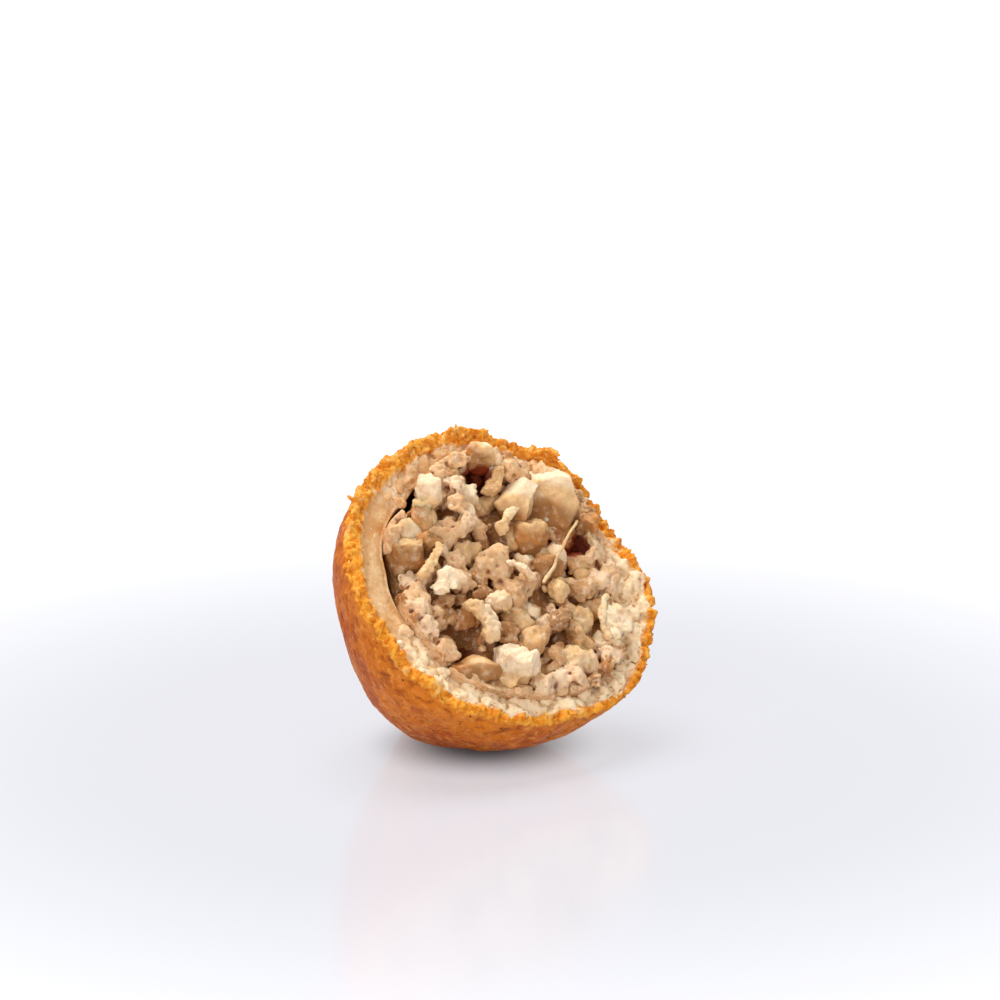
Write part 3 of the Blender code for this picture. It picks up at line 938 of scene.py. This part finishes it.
# Long and rounded pieces: places along them in millimetres, width, thickness, tone. The first
# four of them, and the first five of extraLumps, stand for what largeLooks leaves to a path.
strands = (
    (((6.0, 10.2, 1.8), (3.5, 8.1, 1.8), (2.0, 6.7, 0.8)), 2.9, 2.6, 0.75),
    (((-9.1, 6.5, 1.2), (-12.2, 4.1, 1.2), (-15.0, 2.3, 0.6)), 2.0, 1.6, 0.60),
    (((-14.0, -0.3, 0.2), (-11.7, 0.2, 1.3), (-7.9, 1.7, 0.9)), 4.4, 3.4, 1.0),
    (((-9.9, -3.4, 1.0), (-8.5, -4.5, 1.6), (-6.9, -6.2, 1.6), (-7.4, -10.4, 0.6)), 2.8, 2.2, 0.80),
    (((15.3, 5.2, 3.4), (12.6, 3.0, 3.2), (9.2, 0.4, 2.6), (5.3, -3.1, 1.6)), 0.60, 0.55, 0.65),
    (((0.9, 1.5, 1.5), (1.7, 0.9, 2.3), (2.6, -0.7, 2.4), (4.3, -2.4, 1.6)), 1.6, 1.4, 1.0),
    (((9.6, 18.7, 0.0), (6.5, 15.9, 0.8), (3.7, 13.7, 0.4)), 2.8, 2.4, 0.35),
    (((16.1, -7.3, 0.8), (13.5, -10.7, 1.4), (13.2, -14.1, 0.6)), 2.2, 1.8, 0.75),
    (((18.1, -10.0, 0.4), (16.1, -13.1, 1.0), (13.3, -15.4, 0.3)), 2.4, 2.0, 1.0),
    (((18.6, 4.0, 0.8), (18.3, 1.4, 1.2), (18.4, -1.2, 0.6)), 1.7, 1.4, 0.9),
)

# More lumps that the photo shows, mostly against the dough: place, length, width and thickness in
# millimetres, turn in degrees, tone
extraLumps = (
    (-1.4, 15.9, 1.1, 4.8, 4.2, 3.8, 20, 0.95),
    (-3.4, 12.4, 1.5, 4.4, 4.0, 3.6, 80, 0.70),
    (-1.6, 10.9, 0.9, 3.4, 3.0, 3.0, 140, 0.95),
    (-3.2, 8.7, 1.2, 4.2, 3.6, 3.2, 60, 0.85),
    (-5.4, 8.4, 0.3, 3.6, 3.2, 2.8, 10, 0.55),
    (-15.9, 10.2, -0.9, 4.6, 3.8, 3.4, 60, 0.45),
    (-17.4, -1.2, -0.4, 5.6, 4.4, 3.6, 80, 0.85),
    (-17.0, -5.6, -0.3, 5.0, 3.6, 3.2, 110, 0.90),
    (-15.2, -9.8, -0.6, 4.6, 3.6, 3.0, 150, 0.55),
    (17.6, -0.4, 0.2, 4.4, 3.4, 3.0, 40, 0.80),
    (18.0, -5.4, 0.1, 5.0, 3.8, 3.0, 100, 0.90),
    (14.0, -5.0, 0.2, 4.2, 3.4, 3.0, 20, 0.60),
    (17.4, -10.0, 0.2, 4.4, 3.2, 2.8, 70, 0.95),
    (12.6, -16.6, 0.1, 4.8, 3.6, 3.0, 150, 0.90),
    (7.4, -17.2, 0.2, 4.6, 3.8, 3.0, 10, 0.80),
    (0.8, -18.8, 0.2, 4.8, 3.2, 2.8, 0, 0.95),
    (-5.6, -19.2, 0.0, 4.4, 3.0, 2.6, 170, 0.75),
    (-11.0, -17.9, -0.2, 4.4, 3.0, 2.6, 150, 0.70),
    (-2.6, 19.0, 0.2, 4.6, 3.4, 3.2, 20, 0.75),
    (1.6, 20.2, 0.4, 4.2, 3.2, 3.0, 160, 0.55),
    (9.8, 16.8, 0.3, 4.4, 3.0, 3.4, 70, 0.50),
    (8.6, 19.4, 0.2, 4.2, 3.0, 3.0, 120, 0.70),
    (5.9, -9.3, 0.5, 4.8, 3.8, 3.4, 30, 0.20),
)


def strandLump(path, width, thick):
    # a line with thickness from the Skin modifier, closed and softened
    piece = polyLine(path)
    made = piece.modifiers.new("skin", "SKIN")
    last = len(path) - 1
    for at, corner in enumerate(piece.data.skin_vertices[0].data):
        share = 0.70 if at in (0, last) else 1.0
        corner.radius = (width / 2 * share, thick / 2 * share)
        corner.use_root = at == 0
    bpy.ops.object.modifier_apply(modifier=made.name)
    levels = 4 if width > 2.5 else 3
    applyModifier(piece, "SUBSURF", levels=levels, render_levels=levels)
    swell = cloudTexture("strandSwell", max(0.8, 0.55 * width), 3)
    strength = (0.62 if width > 1 else 0.25) * width  # the thin thread stays nearly plain
    applyModifier(piece, "DISPLACE", texture=swell, texture_coords="LOCAL", strength=strength, mid_level=0.5)
    return takeMesh(piece)


# Of the solids' smaller pieces: the share that is nut, the lumps they are copied from, and how much
# larger they are made, as the solids' own are cut with few sides
smallerLooks = {"medium": (0.55, "middle", 1.10), "small": (0.30, "coarse", 1.15)}


def sortedSpots():
    # the spots of the solids' pieces, shared out between whole nut pieces and the mince
    draw = random.Random(5)
    nuts, mince = [], []
    plain, metre = Matrix.Identity(3), (0.001, 0.001, 0.001)  # for lumps that are made in millimetres
    for number, (grade, place, size, turn) in enumerate(pieceSpots()):
        if grade == "large" and largeLooks[number][0] == "path":
            continue
        if grade == "large" and largeLooks[number][0] in shapedLumps:
            own = shapedLumps[largeLooks[number][0]]
            shape = own.get("shape", slabShape)
            lump = cutLump(shape, own["number"] + 3, own["voxel"], own["radius"], own["breaks"])
            place = [v / 1000 for v in own["place"]]
            # shaped pieces get painted light on their lit side, the top where none is given
            nuts.append((lump, place, metre, plain, own["tone"], own.get("paintedLightSide", (0.1, 0.7, 0.7))))
            continue
        if grade == "large":
            kind, tone, tiltX, tiltY = largeLooks[number]
            turn = rotated("ZXY", *(math.radians(v) for v in (heap["large"][number][6], tiltX, tiltY)))
            lump = lumps["fine", kind][number % 6]
            size = [1.05 * s for s in size]
        else:
            nutShare, voxel, growth = smallerLooks[grade]
            kind = "nut" if draw.random() < nutShare else "mince"
            lump, tone = draw.choice(lumps[voxel, kind]), draw.random()
            size = [growth * s for s in size]
        (mince if kind == "mince" else nuts).append((lump, place, size, turn, tone))
    for number, (x, y, z, longWay, wide, thick, turn, tone) in enumerate(extraLumps):
        size = (longWay / 1000, wide / 1000, thick / 1000)
        turn = rotated("ZX", math.radians(turn), 0.3 * math.sin(5.0 * number))
        mince.append((lumps["middle", "mince"][number % 6], (x / 1000, y / 1000, z / 1000), size, turn, tone))
    for path, width, thick, tone in strands:
        nuts.append((strandLump(path, width, thick), (0, 0, 0), metre, plain, tone))
    return nuts, mince


# The mince itself: lumps and crumbs stuck together by their own juice, so they are fused
mince = {
    "crumbs": 230,
    "crumbSize": (0.0010, 0.0023),
    "crumbRise": (-0.0007, 0.0004),
    "edgeLumps": 190,  # against the dough, where there is no gap
    "edgeSize": (0.0018, 0.0038),
    "edgeRise": (-0.0005, 0.0011),
    "edgeShare": (0.95, 1.03),  # of the room inside the dough
    "seed": 21,
    "voxel": 0.19,  # millimetres
    "rounding": 1,
    "roughSize": 0.8,
    "rough": 0.07,
    "share": 0.36,  # of the faces kept
    "slabRings": 34,  # the sheet of mince that the lumps are fused to
    "slabSteps": 120,
    "slabRough": 0.35,
    "slabDrop": 1.35,  # millimetres under the solids' own level
    "slabEdgeDrop": 0.9,  # and this much more at its edge
    "slabDepth": 1.3,
    "slabTone": 0.35,
    "overlap": 0.0006,  # metres that lumps may reach into the dough
}


def minceCrumbs():
    draw = random.Random(mince["seed"])
    made = []
    for number in range(mince["crumbs"] + mince["edgeLumps"]):
        onEdge = number >= mince["crumbs"]
        turn = draw.uniform(0, math.tau)
        inGap = any(abs(math.degrees(awayFrom(turn, at))) < half for at, half in heap["gapsOpen"])
        if onEdge and inGap:
            continue
        size = draw.uniform(*mince["edgeSize" if onEdge else "crumbSize"])
        share = draw.uniform(*mince["edgeShare"]) if onEdge else math.sqrt(draw.random())
        reach = share * (heapRadius(turn, 0.002) - (0.0 if onEdge else 0.4 * size))
        x, y = reach * math.cos(turn), reach * math.sin(turn)
        rise = draw.uniform(*mince["edgeRise" if onEdge else "crumbRise"])
        level = (heapBase(x, y) if onEdge else heapLevel(x, y)) + rise
        if inHollow(x, y, 0.75, heap["hollows"][:6]):
            continue
        spin = rotated("ZX", draw.uniform(0, math.tau), draw.uniform(0, math.tau))
        shape = [size * draw.uniform(0.7, 1.3) for _ in range(3)]
        lump = draw.choice(lumps["coarse" if onEdge else "crumb", "mince" if onEdge else "crumb"])
        made.append((lump, (x, y, level), shape, spin, draw.random()))
    return made


def fuse(name, parts, tones, settings):
    # lumps stuck together become one closed skin that keeps the tone of the nearest lump
    points, corners = stackMeshes(parts)
    tones = np.concatenate(tones)
    whole = meshPiece(name, points * 1000, corners)  # fused in millimetres
    bpy.ops.object.select_all(action="DESELECT")
    bpy.context.view_layer.objects.active = whole
    whole.select_set(True)
    applyModifier(whole, "REMESH", mode="VOXEL", voxel_size=settings["voxel"])
    applyModifier(whole, "SMOOTH", factor=0.5, iterations=settings["rounding"])
    applyModifier(
        whole, "DISPLACE", texture=cloudTexture(name + "Rough", settings["roughSize"], 2),
        strength=settings["rough"] * 2, mid_level=0.5,
    )
    applyModifier(whole, "DECIMATE", ratio=settings["share"])
    fused, corners = takeMesh(whole)
    tree = KDTree(len(points))
    for number, point in enumerate(points):
        tree.insert(point * 1000, number)
    tree.balance()
    toned = [tones[tree.find(point)[1]] for point in fused]
    fused = fused / 1000
    piece = meshPiece(name, layDown(fused), corners)
    laid = np.empty(len(fused) * 3, np.float32)
    piece.data.vertices.foreach_get("co", laid)
    # crevice and sunk are the masks for painted shade in the materials
    crevice = hollowness(piece.data, laid.reshape(-1, 3).astype(float))
    base = np.array([heapBase(x, y) for x, y, _ in fused])
    addAttributes(piece, tone=toned, sunk=1000 * (base - fused[:, 2]), crevice=crevice)
    return piece


def fusedMince(copies):
    outer = faceHalf
    rings, deep = mince["slabRings"], mince["slabDepth"]
    top = [(outer * i / rings, 0.0) for i in range(rings + 1)]
    under = [(outer * i / rings, -0.001) for i in range(rings, -1, -1)]
    points, corners = takeMesh(spunSheet("minceSlab", top + under, mince["slabSteps"]))
    shares = [smooth(8.0 * math.hypot(x, y) / outer - 7.0) for x, y, _ in points]
    drops = [mince["slabDrop"] + mince["slabEdgeDrop"] * share for share in shares]
    points = warped(np.array([
        topPoint(x, y, drop if z > -0.0005 else drop + deep, mince["slabRough"])
        for (x, y, z), drop in zip(points, drops)
    ]))
    parts, tones = [(points, corners)], [np.full(len(points), mince["slabTone"])]
    for lump, place, size, turn, tone in copies:
        some = placedLump(lump, place, size, turn, mince["overlap"])
        parts.append((some, lump[1]))
        tones.append(np.full(len(some), tone))
    return fuse("minceClumps", parts, tones, mince)


nutCopies, minceCopies = sortedSpots()
nutPieces = separatePieces("nutPieces", nutCopies, 0.0001)
minceClumps = fusedMince(minceCopies + minceCrumbs())
for made in (nutPieces, minceClumps):
    print(made.name, len(made.data.polygons), "faces")

# Flakes of torn crust that still hang on the rim, and crumbs of the pale dough inside it
rimCrumbs = {
    "crust": {
        "count": 900, "size": (0.0006, 0.0014), "seed": 8, "sunk": 0.00045,
        "top": (88, 1.15, 0.5),  # most of them: place in degrees, half its width and fade in radians
        "under": (250, 1.25, 0.35),  # few of them, where the crust was pressed to a rounded edge
        "voxel": 0.14, "rounding": 1, "roughSize": 0.6, "rough": 0.11, "share": 0.45,
    },
    "dough": {
        "count": 420, "size": (0.0010, 0.0024), "seed": 9, "sunk": 0.0005,
        "voxel": 0.19, "rounding": 1, "roughSize": 0.8, "rough": 0.08, "share": 0.50,
    },
}


def tornCrumbs(kind):
    own = rimCrumbs[kind]
    draw = random.Random(own["seed"])
    made = []
    for _ in range(own["count"]):
        turn = draw.uniform(0, math.tau)
        width = tornWidth(turn)
        wall = (outerRadius(turn, 0.0) - cavityRadius(turn, 0.0)) * 1000
        size = draw.uniform(*own["size"])
        if kind == "crust":
            top, under = (
                smooth((half - abs(awayFrom(turn, at))) / fade + 0.5)
                for at, half, fade in (own["top"], own["under"])
            )
            if draw.random() > mix(0.35, 1.0, top) * (1.0 - 0.95 * under):
                continue
            size *= mix(0.75, 1.10, top)
            way = draw.triangular(-0.4, width, 0.5)
        else:
            if draw.random() < pressedSmooth(turn) or wall < width:
                continue
            way = draw.uniform(width + 0.2, wall + 0.4)
        if way > 0:
            place = doughPoint(turn, min(1.0, way / wall), 0.0)
            place.z -= own["sunk"]
        else:
            place = doughPoint(turn, 0.0, body["rimRound"] - way / 1000)
            place *= 0.985
        if kind == "crust":
            # flakes lie along the rim
            along = turn + math.pi / 2 + draw.gauss(0, 0.5)
            spin = rotated("ZYX", along, draw.gauss(0, 0.35), draw.gauss(0, 0.6))
            spans = ((1.2, 2.4), (0.7, 1.1), (0.45, 0.75))
        else:
            spin = rotated("ZX", draw.uniform(0, math.tau), draw.gauss(0, 0.4))
            spans = ((0.9, 1.4), (0.8, 1.1), (0.6, 0.9))
        shape = [size * draw.uniform(*span) for span in spans]
        lump = lumps["crumb", "crumb"] if size < 0.0013 else lumps["coarse", "mince"]
        # the dough is palest at the bottom of the ring
        tone = draw.random() if kind == "crust" else 0.5 - 0.45 * math.sin(turn) + draw.uniform(-0.3, 0.3)
        made.append((draw.choice(lump), place, shape, spin, tone))
    parts = [(placedLump(lump, place, shape, spin, None), lump[1]) for lump, place, shape, spin, _ in made]
    tones = [np.full(len(points), row[4]) for (points, _), row in zip(parts, made)]
    return fuse(kind + "Crumbs", parts, tones, own)


crustCrumbs = tornCrumbs("crust")
doughCrumbs = tornCrumbs("dough")
print("crust crumbs", len(crustCrumbs.data.polygons), "dough crumbs", len(doughCrumbs.data.polygons), "faces")


# Bulgur and meat dough, fried: a browned, slightly oily crust; where torn, bright orange just
# under it and pale, dense, cooked dough further in.
def friedBulgurDough():
    made, tree, shader, at = newMaterial("friedBulgurDough")
    way, depth, pressed, width = (
        attributeOf(tree, label) for label in ("edgeWay", "wallDepth", "pressed", "tornWidth")
    )
    broad, blotch = noiseOf(tree, at, 11, 2.0), noiseOf(tree, at, 3.2, 4.0)
    mottle = noiseOf(tree, at, 1.9, 3.0, 0.6)
    grain, fine = noiseOf(tree, at, 1.1, 3.0, 0.6), noiseOf(tree, at, 0.5, 2.0)
    speck = addNode(tree, "ShaderNodeTexVoronoi", {"Vector": at, "Scale": 1000 / 2.4}).outputs["Distance"]
    # browned crust, brighter towards the torn edge, with pale bulgur grains and darker fried spots
    crust = blendColours(tree, rangeOf(tree, broad, 0.35, 0.65), "#B24E06", "#D27212")
    crust = layered(tree, crust, (
        (way, -6.0, -0.8, 0.55, "#DE7E22"),
        (mottle, 0.50, 0.66, 0.65, "#DA8030"),
        (mottle, 0.47, 0.33, 0.55, "#923E08"),
        (grain, 0.55, 0.70, 0.6, "#EDA04A"),
        (grain, 0.44, 0.30, 0.6, "#803208"),
        (blotch, 0.60, 0.74, 0.6, "#8A3A10"),
        (speck, 0.10, 0.05, 1.0, "#3A1B0A"),
    ))
    # torn just under the crust
    torn = blendColours(tree, rangeOf(tree, grain, 0.35, 0.66), "#DC7C16", "#F6AC3C")
    torn = layered(tree, torn, (
        (fine, 0.55, 0.75, 0.6, "#FFCB68"),
        (blotch, 0.54, 0.70, 0.7, "#F3C67C"),
        (fine, 0.44, 0.30, 0.6, "#B75C10"),
    ))
    # dough further in, lighter where it isn't pressed smooth, with painted shade darkening it down in the
    # hollow
    dough = blendColours(tree, rangeOf(tree, blotch, 0.38, 0.66), "#D49E66", "#E8C08E")
    loose = blendColours(tree, rangeOf(tree, blotch, 0.40, 0.60), "#E4BC8C", "#F6DEBA")
    dough = blendColours(tree, mathOf(tree, "SUBTRACT", 1.0, pressed), dough, loose)
    dough = layered(tree, dough, (
        (grain, 0.58, 0.75, 0.7, "#FAE6C8"),
        (grain, 0.40, 0.26, 0.8, "#B98248"),
        # painted shade: darker down the hollow's wall
        (depth, 0.4, 4.0, 1.0, "#6B3A15"),
    ))
    wander = mathOf(tree, "ADD", wanderOf(tree, blotch, 2.2), wanderOf(tree, grain, 1.6))
    edge = mathOf(tree, "ADD", way, wander)
    toTorn = rangeOf(tree, edge, -1.1, -0.3)
    toDough = rangeOf(tree, mathOf(tree, "SUBTRACT", edge, width), -0.4, 0.5)
    colour = blendColours(tree, toDough, blendColours(tree, toTorn, crust, torn), dough)
    rougher = mathOf(tree, "MULTIPLY", toTorn, 0.14)
    rough = mathOf(tree, "ADD", rangeOf(tree, blotch, 0.3, 0.7, 0.42, 0.60), rougher)
    height = mathOf(tree, "ADD", grain, mathOf(tree, "MULTIPLY", fine, 0.45))
    finishShader(tree, shader, colour, height, (0.00035, 0.75), {
        "Roughness": rough, "Specular IOR Level": 0.10,
        "Subsurface Weight": 0.10, "Subsurface Radius": (1.0, 0.45, 0.15), "Subsurface Scale": 0.0010,
    })
    return made


# Crumbs torn from the ring: coarse bulgur grains, bright orange where they took up the frying oil, with
# painted shade in the crevices between them
def tornBulgur(name, deep, bright, light, dark):
    made, tree, shader, at = newMaterial(name)
    tone, crevice = (attributeOf(tree, label) for label in ("tone", "crevice"))
    grain = noiseOf(tree, at, 0.8, 3.0)
    colour = blendColours(tree, rangeOf(tree, tone, 0.1, 0.9), deep, bright)
    colour = layered(tree, colour, (
        (grain, 0.55, 0.75, 1.0, light),
        (grain, 0.42, 0.28, 1.0, dark),
        # painted shade in the crevices between the crumbs
        (crevice, 0.03, 0.25, 0.8, dark),
    ))
    finishShader(tree, shader, colour, grain, (0.0002, 0.6), {
        "Roughness": 0.58, "Specular IOR Level": 0.14,
        "Subsurface Weight": 0.35, "Subsurface Radius": (1.0, 0.6, 0.35), "Subsurface Scale": 0.0004,
    })
    return made


# Cooked filling: cream to tan, moist and a little translucent, with warm brown painted shade in the crevices
# between the pieces and where they lie low, and dark red-brown painted shade in the two hollows at the top and
# the right
shadedRedHollows = ((4.9, 17.6, -2.6, 3.9), (16.6, 2.6, -2.2, 3.3))  # millimetres: place and radius of the dark red-brown painted shade in the two hollows


def cookedFilling(name, tones, dark, light, millimetres, speckle):
    pale, golden, warm, cool = tones
    made, tree, shader, at = newMaterial(name)
    tone, sunk, crevice = (attributeOf(tree, label) for label in ("tone", "sunk", "crevice"))
    broad = noiseOf(tree, at, 6.0, 2.0)
    blotch, grain = noiseOf(tree, at, millimetres, 4.0), noiseOf(tree, at, 0.9, 3.0)
    tan = blendColours(tree, rangeOf(tree, broad, 0.46, 0.60), cool, warm)
    cream = blendColours(tree, rangeOf(tree, tone, 0.70, 1.05), golden, pale)
    colour = blendColours(tree, rangeOf(tree, tone, 0.05, 0.60), tan, cream)
    # painted shade where a point lies low under the heap's level
    low = mathOf(tree, "ADD", sunk, wanderOf(tree, blotch, 2.0))
    colour = layered(tree, colour, (
        (blotch, 0.52, 0.70, 0.40, tan),
        (blotch, 0.44, 0.30, 0.40, light),
        (grain, 0.50, 0.74, speckle, light),
        (grain, 0.46, 0.28, speckle, warm),
        # painted shade in the crevices and low places
        (crevice, 0.02, 0.28, 0.9, dark),
        (low, 0.3, 2.3, 0.92, dark),
    ))
    # painted shade: dark red-brown round the two hollows
    for x, y, z, radius in shadedRedHollows:
        centre = tuple(layDown([(x / 1000, y / 1000, z / 1000)])[0])
        away = addNode(tree, "ShaderNodeVectorMath", {0: at, 1: centre}, operation="DISTANCE").outputs["Value"]
        away = mathOf(tree, "ADD", mathOf(tree, "MULTIPLY", away, 1000 / radius), wanderOf(tree, blotch, 0.5))
        colour = layered(tree, colour, ((away, 1.0, 0.75, 0.95, "#86300E"),))
    height = mathOf(tree, "ADD", mathOf(tree, "MULTIPLY", blotch, 1.5), grain)
    finishShader(tree, shader, colour, height, (0.00040, 0.7), {
        "Roughness": 0.48, "Specular IOR Level": 0.20,
        "Subsurface Weight": 0.55, "Subsurface Radius": (1.0, 0.6, 0.35), "Subsurface Scale": 0.0008,
    })
    return made


looks = {
    "dough": friedBulgurDough(),
    "torn": tornBulgur("tornFriedCrust", "#D8821E", "#E8A040", "#F8CC82", "#BC660E"),
    "doughCrumb": tornBulgur("tornBulgurDough", "#DEB07C", "#F6DCB4", "#F8E6CA", "#C08C54"),
    "nut": cookedFilling(
        "choppedWalnut", ("#F0D6B2", "#E4BC86", "#BE8044", "#A47240"), "#84380A", "#F3DDBE", 2.4, 0.30,
    ),
    "mince": cookedFilling(
        "cookedMince", ("#EED2B0", "#DEB484", "#B67A42", "#9E6A3A"), "#7C3206", "#F2DABC", 1.8, 0.60,
    ),
}
for piece, look, slot in (
    (doughShell, "dough", "fried_dough"),
    (crustCrumbs, "torn", "fried_dough"),
    (doughCrumbs, "doughCrumb", "fried_dough"),
    (minceCore, "mince", "cooked_mince_and_nuts"),
    (minceClumps, "mince", "cooked_mince_and_nuts"),
    (nutPieces, "nut", "cooked_mince_and_nuts"),
):
    piece.data.materials.clear()
    piece.data.materials.append(looks[look])
    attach(piece, "root")
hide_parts("shell")
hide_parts("filling")
print("materials made")

# Studio: a glossy floor whose glow is painted light, dimmed under the object as a painted contact shadow, and
# large soft lights
studio = {
    "floor": "#707278",
    "glow": 0.60,  # painted light: the floor's glow close to the object
    "paintedShadowGlow": 0.04,  # right under it, a painted contact shadow
    "paintedShadowFrom": 0.004,
    "paintedShadowTo": 0.020,
    "floorRoughness": 0.16,
    "whiteFrom": 0.050,  # metres from the object, where the floor's painted glow starts to rise to plain white
    "whiteTo": 0.20,
    "whiteGlow": 0.4,
    "world": ("#FAFCFF", 0.40),
    "lights": (
        # name, place, aim, size, watts, colour
        ("overheadSoftbox", (0.00, 0.20, 0.60), (0, 0, 0.02), 0.50, 4.5, "#FFFFFF"),
        ("leftSoftbox", (-0.60, -0.30, 0.28), (0, 0, 0.02), 0.45, 1.9, "#FFFFFF"),
        ("frontFill", (0.10, -0.80, 0.40), (0, 0, 0.02), 0.60, 1.2, "#FFFFFF"),
    ),
}


def glowFloorPaintedShadow():
    # a glossy floor that glows as painted light: dim right under the object as a painted contact shadow,
    # brighter away from it
    made, tree, shader, at = newMaterial("glowFloorPaintedShadow")
    away = addNode(tree, "ShaderNodeVectorMath", {0: at}, operation="LENGTH").outputs["Value"]
    # painted contact shadow: the glow drops close to the object
    near = rangeOf(
        tree, away, studio["paintedShadowFrom"], studio["paintedShadowTo"], studio["paintedShadowGlow"], studio["glow"]
    )
    far = rangeOf(tree, away, studio["whiteFrom"], studio["whiteTo"], 0.0, studio["whiteGlow"])
    glow = mathOf(tree, "ADD", near, far)
    tree.links.new(glow, shader.inputs["Emission Strength"])
    shader.inputs["Emission Color"].default_value = linearOf("#F8F7FC")
    shader.inputs["Base Color"].default_value = linearOf(studio["floor"])
    shader.inputs["Roughness"].default_value = studio["floorRoughness"]
    return made


def makeStudio():
    bpy.ops.object.select_all(action="DESELECT")
    bpy.ops.mesh.primitive_plane_add(size=8.0)
    floor = bpy.context.object
    floor.name = "studioFloor"
    floor.data.materials.append(glowFloorPaintedShadow())
    for name, place, aim, size, watts, colour in studio["lights"]:
        bpy.ops.object.light_add(type="AREA", location=place)
        light = bpy.context.object
        light.name = name
        light.data.shape = "DISK"
        light.data.size = size
        light.data.energy = watts
        light.data.color = linearOf(colour)[:3]
        light.rotation_euler = (Vector(aim) - Vector(place)).to_track_quat("-Z", "Y").to_euler()
    world = bpy.data.worlds.new("studioWorld")
    bpy.context.scene.world = world
    world.use_nodes = True
    background = world.node_tree.nodes["Background"]
    background.inputs["Color"].default_value = linearOf(studio["world"][0])
    background.inputs["Strength"].default_value = studio["world"][1]
    bpy.context.scene.view_settings.view_transform = "Standard"


makeStudio()
print("studio ready")
